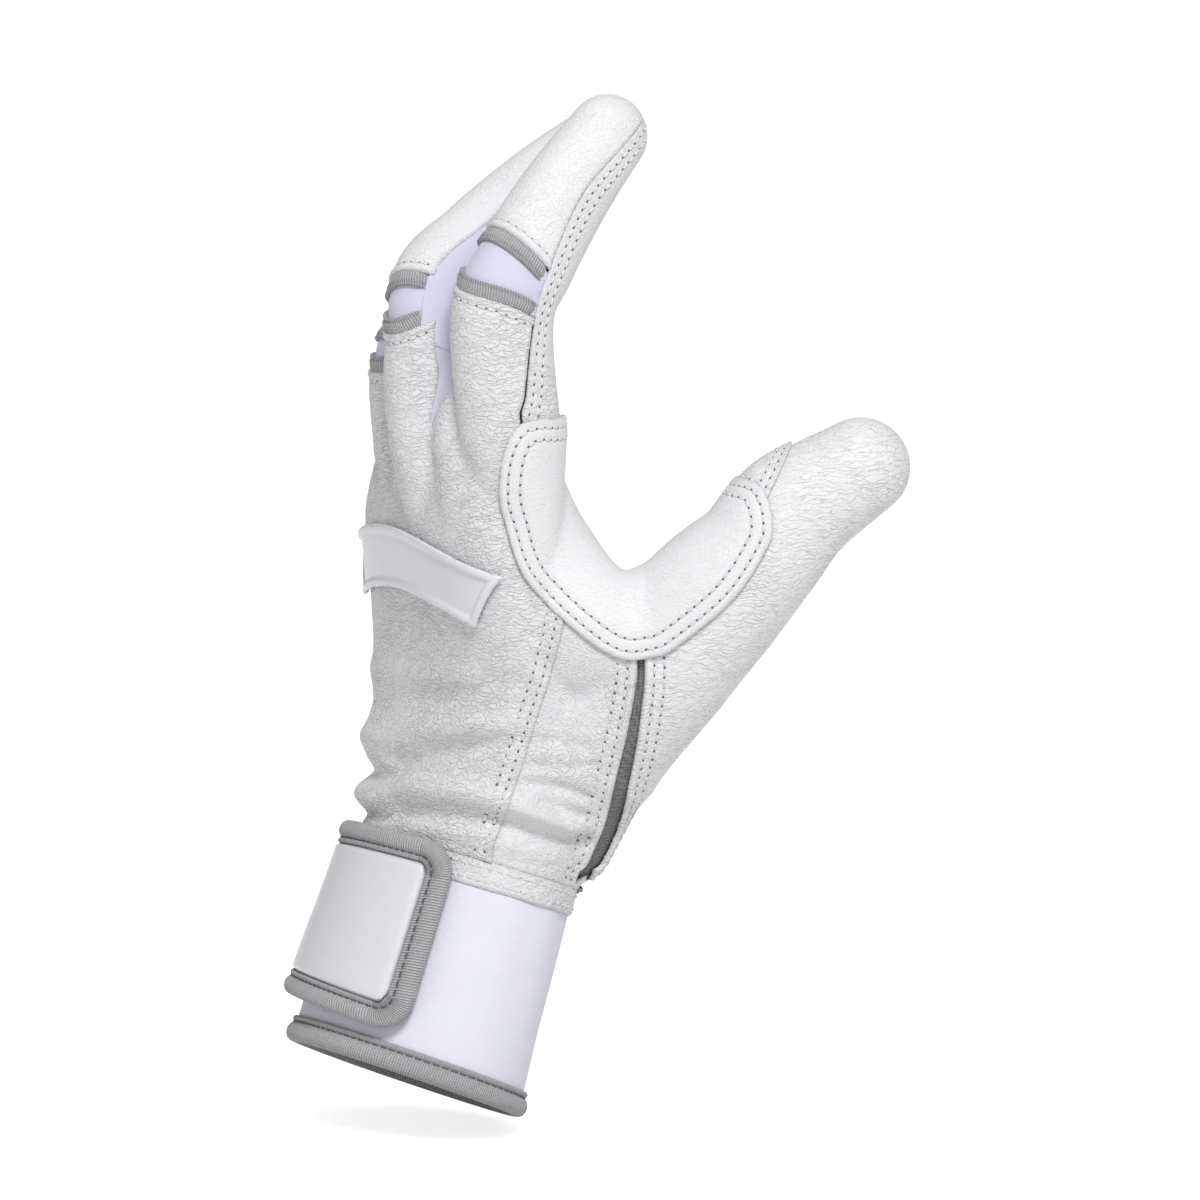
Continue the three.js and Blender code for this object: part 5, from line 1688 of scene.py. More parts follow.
@dataclass
class Cuff:
    """The stretch sleeve, its ribbed binding and the leather hem above it."""

    form: HandForm
    hand: HandPanels
    sleeve_top: float = 41.5
    wall: float = 1.3
    sides: int = 144

    @staticmethod
    def mouth(angle: Array) -> Array:
        """Returns the height of the tilted mouth at an angle."""
        return 1.6 * np.cos(np.radians(angle)) - CUFF_DROP

    def ring(self, low: Callable[[Array], Array], high: float, rows: int,
             lift: Lift) -> BMesh:
        """Returns a band of cloth round the cuff.

        Args:
            low: gives the lowest height for an angle in degrees.
            high: greatest height in millimetres.
            rows: squares up the band.
            lift: gives the lift off the cuff for an angle and a height.
        """

        def place(around: Array, rise: Array) -> Points:
            """Returns band places for shares round and up."""
            angle = around * 360.0
            height = low(angle) + (high - low(angle)) * rise
            return self.form.cuff_point(angle, height, lift(angle, height))

        return wrapped_grid(self.sides, rows, place, run=190.0, width=45.0)

    def build(self) -> None:
        """Builds the sleeve, the hem and the binding."""
        self.build_sleeve()
        self.build_hem()
        self.build_binding()

    def build_sleeve(self) -> None:
        """Builds the smooth stretch sleeve with its shallow pulls."""

        def lift(angle: Array, height: Array) -> Array:
            """Returns the sleeve's unevenness."""
            spot = np.column_stack([angle * 0.55, height, np.zeros(len(angle))])
            pull = wave(spot * np.array([1.0, 0.35, 1.0]), 16.0, 2.0)
            return 0.25 * pull * smooth_step(height, 0.0, 16.0)

        shape = self.ring(lambda angle: self.mouth(angle) + 1.2, self.sleeve_top + 1.5, 66, lift)
        sleeve = shaped_object("cuff_cloth", shape)
        sleeve.data.materials.append(self.hand.finishes.spandex_cuff)
        thicken(sleeve, self.wall)
        place_piece(sleeve, Body.GLOVE, ("cuff_sleeve",))

    def build_hem(self) -> None:
        """Builds the leather hem at the wrist with its two rows of stitches."""
        low, high = self.sleeve_top - 1.0, self.form.wrist_height + 0.4

        def lift(angle: Array, height: Array) -> Array:
            """Returns the hem's rounded edges."""
            gap = np.minimum(height - low, high - height)
            uneven = 0.25 * wave(np.column_stack([angle * 0.55, angle * 0, angle * 0]), 14.0, 5.0)
            return 0.75 + uneven - 0.6 * rounding(gap / 0.9)

        shape = self.ring(lambda angle: np.full(len(angle), low), high, 16, lift)
        shape.normal_update()
        sheet = Sheet("wrist_hem_leather", Body.GLOVE, Slot.LEATHER, (), replaces=("wrist_hem",))
        marks = shape.edges.layers.int.new("edge_kind")
        for edge in shape.edges:
            if len(edge.link_faces) == 1:
                edge[marks] = Edge.BUTT.value
        sheet.shape = shape
        rows = sewn_rows(Edge.BUTT, 1.9, pitch=2.2)
        self.hand.stitcher.sew(sheet, rows, (self.hand.finishes.thread, self.hand.finishes.needle_hole_shade))
        # The hem takes the side leather, whose darker colour is painted shade.
        sheet.finish(self.hand.finishes.side)

    def build_binding(self) -> None:
        """Builds the ribbed binding that is folded over the cuff's mouth."""
        section = [
            (5.9, 0.1), (5.85, 0.75), (5.4, 1.15), (4.95, 1.1), (4.6, 0.75), (4.4, 0.5), (4.2, 0.75), (3.9,
                    1.25),
            (3.2, 1.65), (2.2, 1.8), (1.2, 1.6), (0.4, 1.1), (-0.1, 0.2), (-0.2, -0.65), (-0.1, -1.5), (0.4,
                    -2.3),
            (1.2, -2.8), (2.6, -2.9), (4.0, -2.6), (5.2, -2.2), (5.6, -1.6), (5.2, -1.35), (2.0,
                    -1.35), (1.0, -0.65),
            (2.0, 0.05),
        ]
        heights = np.array([s[0] for s in section])
        lifts = np.array([s[1] for s in section])
        count = len(section)

        def place(around: Array, girth: Array) -> Points:
            """Returns binding places for shares round the cuff and round the section."""
            k = np.rint(girth * count).astype(int) % count
            return self.form.cuff_point(around * 360.0, heights[k] + self.mouth(around * 360.0), lifts[k])

        shape = wrapped_grid(self.sides * 2, count, place, run=190.0, width=17.0)
        roll = shaped_object("cuff_binding", shape)
        roll.data.materials.append(self.hand.finishes.binding)
        place_piece(roll, Body.GLOVE, ("cuff_tape",))
        self.sew_groove()

    def sew_groove(self) -> None:
        """Sews the dark stitches that lie in the binding's groove."""
        count = 400
        angle = np.linspace(0, 360, count, endpoint=False)
        height = self.mouth(angle) + 4.4
        spots = self.form.cuff_point(angle, height, np.full(count, 0.55))
        outward = self.form.cuff_point(angle, height, np.full(count, 1.55)) - spots
        line = np.column_stack([spots, outward])
        line = self.hand.stitcher.resample(np.vstack([line, line[:1]]), 2.2)
        self.hand.sew_line("cuff_binding_stitches", line, Body.GLOVE, self.hand.finishes.dark_thread)


@dataclass
class WristStrap:
    """The wrist strap: stretch band, ribbed binding, moulded badge, and the pile and hooks that hold it."""

    form: HandForm
    hand: HandPanels
    start: float = -112.0
    end: float = 49.0
    flare: float = -80.0
    top: float = 48.3
    root_width: float = 41.0
    end_width: float = 45.5
    corner: float = 8.2
    base: float = 2.7
    badge_length: float = 52.0
    badge_wall: float = 1.1
    binding_width: float = 5.6
    band_wall: float = 1.2
    pad_wall: float = 0.9
    pad_inset: float = 5.9
    pad_corner: float = 3.5
    groove: float = 4.25

    @property
    def arc(self) -> float:
        """Returns millimetres round the cuff for each degree."""
        return math.pi * (51.0 + 67.0) / 720

    def width(self, angle: Array) -> Array:
        """Returns the strap's width at an angle."""
        share = np.clip((angle - self.flare) / (self.end - self.flare), 0.0, 1.0)
        return self.root_width + (self.end_width - self.root_width) * share

    def plate(self, start: float, inset: float, corner: float,
              lift: Lift) -> BMesh:
        """Returns a curved plate within the strap's outline.

        Args:
            start: first angle in degrees.
            inset: millimetres in from the outline.
            corner: radius of the free end's corners.
            lift: gives the lift for a distance from the outline and an angle.
        """
        last = self.end - inset / self.arc

        def place(along: Array, aside: Array) -> Points:
            """Returns plate places for shares along and across the strap."""
            angle = start + (last - start) * along
            left = (last - angle) * self.arc
            cut = np.where(left < corner, corner - np.sqrt(np.maximum(corner**2 - (corner - left) ** 2, 0)),
                           0.0)
            low = self.top - self.width(angle) + inset + cut
            high = self.top - inset - cut
            height = low + (high - low) * aside
            gap = np.minimum(np.minimum(height - low, high - height), left)
            return self.form.cuff_point(angle, height, lift(gap, angle))

        steps = int((last - start) * self.arc / 1.0)
        return wrapped_grid(steps, 44, place, weld=0.003, run=(last - start) * self.arc, width=self.end_width)

    def add_plate(self, name: str, shape: BMesh, wall: float, finish: Material,
                  body: Body, replaces: Sequence[str]) -> bpy.types.Object:
        """Thickens a plate inward and puts it in the scene.

        Args:
            name: the piece's name.
            shape: its outer face.
            wall: its thickness in millimetres.
            finish: its material.
            body: the body it rides on.
            replaces: CAD nodes that it stands for.
        """
        shape.normal_update()
        probe = next(iter(shape.faces))
        if probe.normal.dot(probe.calc_center_median() - Vector(CUFF_AXIS * 20.0)) < 0:
            bmesh.ops.reverse_faces(shape, faces=shape.faces)
        piece = shaped_object(name, shape)
        piece.data.materials.append(finish)
        thicken(piece, wall)
        place_piece(piece, body, replaces)
        return piece

    def build(self) -> None:
        """Builds every piece of the strap."""
        finishes = self.hand.finishes
        outside = self.base + self.band_wall
        band = self.plate(self.start, 1.5, 7.0, lambda gap, angle: np.full(len(gap), outside))
        self.add_plate("strap_cloth", band, self.band_wall, finishes.spandex, Body.STRAP,
                       ("strap_band",))
        self.build_badge()
        first = self.end - (self.binding_width + self.badge_length / 2) / self.arc
        hook = self.plate(first, self.pad_inset, self.pad_corner, lambda gap, angle: np.full(len(gap), 2.4))
        self.add_plate("strap_hooks", hook, self.pad_wall, finishes.pile, Body.STRAP,
                       ("strap_hook_tab",))
        first = self.end - (self.binding_width + self.badge_length) / self.arc
        loop = self.plate(first, self.pad_inset, self.pad_corner, lambda gap, angle: np.full(len(gap), 1.2))
        self.add_plate("cuff_pile", loop, self.pad_wall, finishes.pile, Body.GLOVE,
                       ("cuff_loop_patch",))
        self.build_anchor()
        self.build_binding()

    def build_badge(self) -> None:
        """Builds the moulded badge with its rounded rim, left bare."""
        first = self.end - (self.binding_width + self.badge_length) / self.arc
        skin = self.base + self.band_wall + 0.3

        def lift(gap: Array, angle: Array) -> Array:
            """Returns the badge's face: a soft rounded edge."""
            return skin + self.badge_wall - 0.8 * rounding(gap / 1.3)

        badge = self.plate(first, self.binding_width + 0.1, 2.6, lift)
        self.add_plate("strap_badge_face", badge, self.badge_wall, self.hand.finishes.moulded,
                       Body.STRAP,
                       ("strap_badge",))

    def build_anchor(self) -> None:
        """Builds the sewn root that holds the strap to the cuff."""
        low, high = self.top - self.root_width + self.pad_inset, self.top - self.pad_inset

        def place(along: Array, aside: Array) -> Points:
            """Returns the root's places for shares along and across."""
            angle = self.start + 9.0 / self.arc * along
            edge = np.minimum(np.minimum(along, 1 - along) * 9.0, np.minimum(aside, 1 - aside) * (high - low))
            round_off = 0.5 * (1 - np.clip(edge / 0.8, 0, 1)) ** 2
            return self.form.cuff_point(angle, low + (high - low) * aside, self.base - 0.3 - round_off)

        shape = wrapped_grid(14, 36, place, weld=0.003, run=9.0, width=high - low)
        self.add_plate("strap_root", shape, 2.0, self.hand.finishes.binding, Body.GLOVE,
                       ("strap_anchor",))

    def outline(self, step: float) -> List[Tuple[float, float, float]]:
        """Returns the strap's outline as angle, height and swing of the inward way, at an even step."""
        turn = self.end - self.corner / self.arc
        path = []
        count = int((turn - self.start) * self.arc / step)
        for i in range(count + 1):
            angle = self.start + (turn - self.start) * i / count
            path.append((angle, float(self.top - self.width(np.array([angle]))[0]), 0.0))
        bends = max(int(self.corner * math.pi / 2 / step), 6)
        for i in range(1, bends + 1):
            swing = math.pi / 2 * i / bends
            angle = turn + self.corner / self.arc * math.sin(swing)
            low = float(self.top - self.width(np.array([angle]))[0])
            path.append((angle, low + self.corner * (1 - math.cos(swing)), swing))
        back = []
        for angle, height, swing in path:
            rise = height - float(self.top - self.width(np.array([angle]))[0])
            back.append((angle, self.top - rise, math.pi - swing))
        low, high = path[-1][1], back[-1][1]
        straight = []
        count = max(int((high - low) / step), 2)
        for i in range(1, count):
            straight.append((path[-1][0], low + (high - low) * i / count, math.pi / 2))
        return path + straight + back[::-1]

    def build_binding(self) -> None:
        """Builds the ribbed binding folded over the strap's three free edges."""
        wide = self.binding_width
        half = 1.95
        section = [
            (0.0, 0.9), (0.15, 1.45), (0.6, 1.95), (1.4, 2.35), (2.2, 2.45), (3.0, 2.35), (3.6, 2.0), (4.0,
                    1.5),
            (self.groove, 1.2), (4.5, 1.55), (4.85, 1.9), (5.2, 1.85), (5.5, 1.55), (wide, 0.9), (1.2, 0.9),
            (1.2, -0.9), (wide, -0.9), (wide, -half * 0.8), (4.0, -half), (0.9, -half), (0.25, -1.5),
            (0.0, -0.9),
        ]
        inward = np.array([s[0] for s in section])
        lifts = np.array([s[1] for s in section]) + self.base + 0.6
        path = np.array(self.outline(0.8))
        rows, count = len(path) - 1, len(section)

        def place(along: Array, around: Array) -> Points:
            """Returns binding places for shares along the outline and round the section."""
            k = np.rint(along * rows).astype(int)
            j = np.rint(around * count).astype(int) % count
            angle, height, swing = path[k, 0], path[k, 1], path[k, 2]
            ends = (k == 0) | (k == rows)
            depth = np.where(ends, inward.mean(), inward[j])
            lift = np.where(ends, lifts.mean(), lifts[j])
            turned, risen = angle - depth * np.sin(swing) / self.arc, height + depth * np.cos(swing)
            return self.form.cuff_point(turned, risen, lift)

        shape = wrapped_grid(rows, count, place, weld=0.003, run=rows * 0.8, width=16.0)
        roll = shaped_object("strap_binding", shape)
        roll.data.materials.append(self.hand.finishes.binding)
        place_piece(roll, Body.STRAP, ("strap_tape",))
        angle = path[:, 0] - self.groove * np.sin(path[:, 2]) / self.arc
        height = path[:, 1] + self.groove * np.cos(path[:, 2])
        spots = self.form.cuff_point(angle, height, np.full(len(path), self.base + 1.85))
        outward = self.form.cuff_point(angle, height, np.full(len(path), self.base + 4.0)) - spots
        line = self.hand.stitcher.resample(np.column_stack([spots, outward]), 2.2)
        self.hand.sew_line("strap_binding_stitches", line, Body.STRAP, self.hand.finishes.dark_thread)


@dataclass
class BackBand:
    """The moulded band across the back of the hand, left bare inside its raised rim."""

    form: HandForm
    hand: HandPanels
    centre: Tuple[float, float] = (4.5, 18.5)
    radius: float = 105.0
    width: float = 14.6
    far_span: float = 18.8
    near_span: float = 23.6

    def inside(self, points: Points) -> Array:
        """Returns the signed distance inside the band's outline."""
        aside, upward = points[:, 1] - self.centre[0], points[:, 2] - self.centre[1]
        reach = np.hypot(aside, upward)
        turn = np.degrees(np.arctan2(aside, upward))
        slant = (self.radius - reach) * 0.11
        ends = np.radians(np.minimum(self.near_span - slant + turn,
                                     self.far_span - turn)) * np.maximum(reach, 1.0)
        ring = np.minimum(self.radius - reach, reach - self.radius + self.width)
        return np.minimum(np.minimum(ring, ends), self.form.wrist[0] - points[:, 0])

    def build(self) -> None:
        """Builds the band."""
        sheet = Sheet("back_band", Body.GLOVE, Slot.MOULDED, [Cut(self.inside, Edge.RAW)], thickness=1.2,
                      lift=1.35,
                      roll=0.3, refine=4.0, replaces=("name_band",))
        sheet.cut_from(self.form.skin, self.form.points)
        sheet.refine_edges()
        shape = sheet.shape
        shape.normal_update()
        gap = sheet.edge_gap([Edge.RAW])
        rim = 1.8 - 0.7 * smooth_step(gap, 1.5, 2.3)
        rim -= 0.5 * (1 - np.clip(gap / 0.5, 0, 1)) ** 2
        push_out(shape, rim)
        sheet.finish(self.hand.finishes.moulded)


@dataclass
class ThumbStrip:
    """The small double-stitched strip on the inner side of the thumb's end."""

    form: HandForm
    hand: HandPanels

    def build(self) -> None:
        """Builds the strip."""
        line = spline([(78.0, 123.0), (82.3, 131.6), (85.8, 138.5), (89.3, 145.6), (94.0, 156.0)])

        def inside(points: Points) -> Array:
            """Returns the signed distance inside the strip's outline."""
            across, up, out = side_plane(points)
            edge = np.minimum(side_of_line(across, up, line), out - 4.0)
            return np.minimum(edge, self.hand.pattern.thumb_ahead(points, 5.0))

        sheet = Sheet("thumb_strip_leather", Body.THUMB, Slot.LEATHER, [Cut(inside, Edge.RAW)],
                      thickness=1.0, lift=0.9,
                      roll=0.4, replaces=("thumb_patch",))
        rows = sewn_rows(Edge.RAW, 1.5, 3.4)
        self.hand.make(sheet, self.hand.finishes.thumb, rows)


# Finishes


@dataclass(frozen=True)
class Finish:
    """A procedural finish made of shader nodes."""

    name: str
    colour: Colour
    roughness: float

    def start(self, specular: float, sheen: float = 0.0) -> Tuple[Material, Tree, bpy.types.Node, Socket]:
        """Starts the material.

        Args:
            specular: strength of its shine.
            sheen: strength of its fuzz.

        Returns:
            The material, its node tree, its main shader and the place on the object.
        """
        material = bpy.data.materials.new(self.name)
        material.use_nodes = True
        tree = material.node_tree
        shader = tree.nodes["Principled BSDF"]
        shader.inputs["Roughness"].default_value = self.roughness
        shader.inputs["Base Color"].default_value = (*self.colour, 1.0)
        shader.inputs["Specular IOR Level"].default_value = specular
        shader.inputs["Sheen Weight"].default_value = sheen
        return material, tree, shader, add_node(tree, "ShaderNodeTexCoord").outputs["Object"]

    def toned(self, factor: float) -> Colour:
        """Returns the colour made darker or lighter by a factor."""
        return tuple(min(c * factor, 1.0) for c in self.colour)


def add_node(
    tree: Tree, kind: str, links: Optional[Dict[str, Socket]] = None, **values: object
) -> bpy.types.Node:
    """Adds a shader node.

    Args:
        tree: the material's tree.
        kind: the node's type name.
        links: input name or number to the socket that feeds it.
        values: properties of the node, or inputs whose names start with "in_".

    Returns:
        The node.
    """
    node = tree.nodes.new(kind)
    for name, value in values.items():
        if name.startswith("in_"):
            key = name[3:]
            node.inputs[int(key) if key.isdigit() else key.replace("_", " ")].default_value = value
        else:
            setattr(node, name, value)
    for name, socket in (links or {}).items():
        tree.links.new(socket, node.inputs[int(name) if name.isdigit() else name])
    return node


def math_node(tree: Tree, operation: str, *operands: object) -> Socket:
    """Returns the result of a Math node on sockets or numbers."""
    node = tree.nodes.new("ShaderNodeMath")
    node.operation = operation
    for k, value in enumerate((*operands, 0.0, 0.0)[:3]):
        if isinstance(value, Socket):
            tree.links.new(value, node.inputs[k])
        else:
            node.inputs[k].default_value = value
    return node.outputs[0]


def noise(tree: Tree, place: Socket, scale: float, detail: float) -> bpy.types.Node:
    """Returns a Noise node at a place."""
    return add_node(tree, "ShaderNodeTexNoise", {"Vector": place}, in_Scale=scale, in_Detail=detail)


def ranged(tree: Tree, value: Socket, given: Tuple[float, float], wanted: Tuple[float, float],
           smooth: bool = False) -> Socket:
    """Returns a value moved from a given range to a wanted one, with a smooth rise if asked."""
    kind = "SMOOTHSTEP" if smooth else "LINEAR"
    node = add_node(tree, "ShaderNodeMapRange", {"Value": value}, interpolation_type=kind,
                    in_1=given[0], in_2=given[1], in_3=wanted[0], in_4=wanted[1])
    return node.outputs[0]


def mixed_colour(tree: Tree, share: Socket, first: object, second: Colour) -> Socket:
    """Returns a colour between a colour or socket and another colour by a share."""
    node = add_node(tree, "ShaderNodeMix", {"Factor": share}, data_type="RGBA", in_7=(*second, 1.0))
    if isinstance(first, Socket):
        tree.links.new(first, node.inputs[6])
    else:
        node.inputs[6].default_value = (*first, 1.0)
    return node.outputs[2]


def dress(tree: Tree, shader: bpy.types.Node, colour: Socket, height: Socket, strength: float,
          depth: float) -> None:
    """Gives a shader its colour and its relief.

    Args:
        tree: the material's tree.
        shader: its main shader.
        colour: the colour.
        height: the relief, from 0 to about 1.
        strength: how strongly the relief shows.
        depth: metres that a height of 1 stands for.
    """
    bump = add_node(tree, "ShaderNodeBump", {"Height": height}, in_Strength=strength, in_Distance=depth)
    tree.links.new(bump.outputs[0], shader.inputs["Normal"])
    tree.links.new(colour, shader.inputs["Base Color"])


@dataclass(frozen=True)
class LeatherFinish(Finish):
    """Fine white glove leather: pebbled grain with fine wrinkles across one way, and painted shade in the
    wrinkles' hollows and along finished edges.
    """

    along: Tuple[float, float, float] = (0.0, 0.0, 1.0)
    grain: float = 0.5
    wrinkles: float = 0.6
    pitch: float = 0.0012
    wide: float = 0.0036
    cells: float = 1.0
    # colour of the painted shade along finished edges
    seam_painted_shade: Colour = (0.46, 0.46, 0.47)

    def make(self) -> Material:
        """Returns the material."""
        material, tree, shader, place = self.start(0.42, 0.06)
        turn = Vector((0, 0, 1)).rotation_difference(Vector(self.along)).inverted().to_euler()
        swell = noise(tree, place, 260.0, 3.0).outputs["Color"]
        bent = add_node(tree, "ShaderNodeVectorMath", {"0": swell}, operation="SCALE", in_Scale=0.0032)
        moved = add_node(tree, "ShaderNodeVectorMath", {"0": place, "1": bent.outputs[0]}, operation="ADD")
        lined = add_node(tree, "ShaderNodeMapping", {"Vector": moved.outputs[0]}, vector_type="POINT")
        lined.inputs["Rotation"].default_value = turn
        lined.inputs["Scale"].default_value = (1 / self.wide, 1 / self.wide, 1 / self.pitch)
        cells = add_node(tree, "ShaderNodeTexVoronoi", {"Vector": lined.outputs[0]},
                         feature="DISTANCE_TO_EDGE", in_Scale=1.25)
        pillow = ranged(tree, cells.outputs["Distance"], (0.0, 0.14), (0.0, 1.0), smooth=True)
        creases = noise(tree, lined.outputs[0], 1.1, 1.5).outputs["Fac"]
        away = math_node(tree, "ABSOLUTE", math_node(tree, "SUBTRACT", creases, 0.5))
        ridge = ranged(tree, away, (0.0, 0.075), (0.0, 1.0), smooth=True)
        pebbles = add_node(tree, "ShaderNodeTexVoronoi", {"Vector": moved.outputs[0]},
                           feature="SMOOTH_F1", in_Scale=1250.0, in_Smoothness=0.5).outputs["Distance"]
        pores = noise(tree, place, 2600.0, 2.0).outputs["Fac"]
        patch = noise(tree, place, 55.0, 2.0).outputs["Fac"]
        amount = math_node(tree, "MULTIPLY", ranged(tree, patch, (0.36, 0.6), (0.55, 1.0)), self.wrinkles)
        folded = math_node(tree, "MULTIPLY_ADD", pillow, self.cells, math_node(tree, "MULTIPLY", ridge, 0.7))
        height = math_node(tree, "MULTIPLY", folded, amount)
        height = math_node(tree, "MULTIPLY_ADD", pebbles, -self.grain, height)
        height = math_node(tree, "MULTIPLY_ADD", pores, 0.1, height)
        # Painted shade: the colour darkens in the hollows between the wrinkles' ridges, where shade falls,
        # and a little between the grain's pebbles.
        depth = math_node(tree, "MULTIPLY", amount, 0.3)
        crease_shade = math_node(tree, "MULTIPLY", math_node(tree, "SUBTRACT", 1.0, ridge), depth)
        tone_and_painted_light = math_node(tree, "MULTIPLY_ADD", pebbles, self.grain * 0.2, crease_shade)
        crease_shaded_colour = mixed_colour(tree, tone_and_painted_light, self.colour, self.toned(0.8))
        # Painted shade: the colour darkens within 1.4 mm of a finished edge, where the panels meet.
        gap = add_node(tree, "ShaderNodeAttribute", attribute_name="seam_gap").outputs["Fac"]
        seam = mixed_colour(tree, ranged(tree, gap, (0.0, 1.4), (0.42, 0.0)), crease_shaded_colour, self.seam_painted_shade)
        dress(tree, shader, seam, height, 1.0, 0.00017)
        gloss = ranged(tree, creases, (0.0, 1.0), (self.roughness - 0.08, self.roughness + 0.1))
        tree.links.new(gloss, shader.inputs["Roughness"])
        return material


@dataclass(frozen=True)
class StretchFinish(Finish):
    """Smooth stretch knit with very fine wales."""

    pitch: float = 0.00045

    def make(self) -> Material:
        """Returns the material."""
        material, tree, shader, place = self.start(0.25, 0.25)
        shader.inputs["Sheen Roughness"].default_value = 0.4
        split = add_node(tree, "ShaderNodeSeparateXYZ", {"Vector": place})
        turn = 2 * math.pi / self.pitch
        waves = [math_node(tree, "SINE", math_node(tree, "MULTIPLY", split.outputs[k],
                                                   turn)) for k in range(3)]
        knit = math_node(tree, "MULTIPLY", math_node(tree, "ADD", waves[0], waves[1]), waves[2])
        swell = noise(tree, place, 120.0, 3.0).outputs["Fac"]
        height = math_node(tree, "MULTIPLY_ADD", knit, 0.25, math_node(tree, "MULTIPLY", swell, 1.6))
        dress(tree, shader, mixed_colour(tree, swell, self.colour, self.toned(0.95)), height, 0.5, 0.00012)
        return material


@dataclass(frozen=True)
class RibbedFinish(Finish):
    """Grey stretch binding with ribs across its run, which its UV map gives in millimetres, painted lighter
    on the rib tops and darker between them.
    """

    pitch: float = 0.64
    thread_pitch: float = 0.5

    def make(self) -> Material:
        """Returns the material."""
        material, tree, shader, place = self.start(0.25, 0.2)
        run = add_node(tree, "ShaderNodeUVMap")
        split = add_node(tree, "ShaderNodeSeparateXYZ", {"Vector": run.outputs[0]})
        lean = math_node(tree, "MULTIPLY_ADD", split.outputs[1], 0.12, split.outputs[0])
        rib = math_node(tree, "SINE", math_node(tree, "MULTIPLY", lean, 2 * math.pi / self.pitch))
        share = math_node(tree, "MULTIPLY_ADD", rib, 0.5, 0.5)
        turn = 2 * math.pi / self.thread_pitch
        thread = math_node(tree, "SINE", math_node(tree, "MULTIPLY", split.outputs[1], turn))
        fuzz = noise(tree, place, 900.0, 4.0).outputs["Fac"]
        height = math_node(tree, "MULTIPLY_ADD", thread, 0.12, share)
        height = math_node(tree, "MULTIPLY_ADD", fuzz, 0.5, height)
        # Painted light: the ribs' tops are lighter and the grooves between them darker, besides the fuzz's
        # random tone.
        tone_and_painted_light = math_node(tree, "MULTIPLY_ADD", fuzz, 0.5, math_node(tree, "MULTIPLY", share, 0.6))
        dress(tree, shader, mixed_colour(tree, tone_and_painted_light, self.toned(0.62), self.toned(1.28)), height, 1.0,
              0.00034)
        return material


@dataclass(frozen=True)
class ThreadFinish(Finish):
    """Sewing thread with a slight twist."""

    def make(self) -> Material:
        """Returns the material."""
        material, tree, shader, place = self.start(0.3)
        fuzz = noise(tree, place, 3000.0, 3.0).outputs["Fac"]
        dress(tree, shader, mixed_colour(tree, fuzz, self.toned(0.8), self.colour), fuzz, 0.7, 0.0001)
        return material


@dataclass(frozen=True)
class MouldedFinish(Finish):
    """Smooth moulded soft plastic with a faint satin unevenness."""

    def make(self) -> Material:
        """Returns the material."""
        material, tree, shader, place = self.start(0.5)
        swell = noise(tree, place, 160.0, 2.0).outputs["Fac"]
        fine = noise(tree, place, 3500.0, 1.0).outputs["Fac"]
        height = math_node(tree, "MULTIPLY_ADD", fine, 0.15, swell)
        dress(tree, shader, mixed_colour(tree, swell, self.colour, self.toned(0.95)), height, 0.25, 0.0003)
        gloss = ranged(tree, fine, (0.0, 1.0), (self.roughness - 0.04, self.roughness + 0.06))
        tree.links.new(gloss, shader.inputs["Roughness"])
        return material


@dataclass(frozen=True)
class MeshFinish(Finish):
    """Open mesh or pile: small holes or loops whose pits are darkened by painted shade."""

    cell: float = 1100.0
    # darkness of the painted shade in the pits, as a factor on the colour
    depth: float = 0.4

    def make(self) -> Material:
        """Returns the material."""
        material, tree, shader, place = self.start(0.2)
        cells = add_node(tree, "ShaderNodeTexVoronoi", {"Vector": place}, in_Scale=self.cell,
                         in_Randomness=0.35).outputs["Distance"]
        # Painted shade: the colour darkens towards each cell's pit, by the factor depth.
        dress(tree, shader, mixed_colour(tree, cells, self.toned(self.depth), self.colour), cells, 0.9,
              0.0003)
        return material


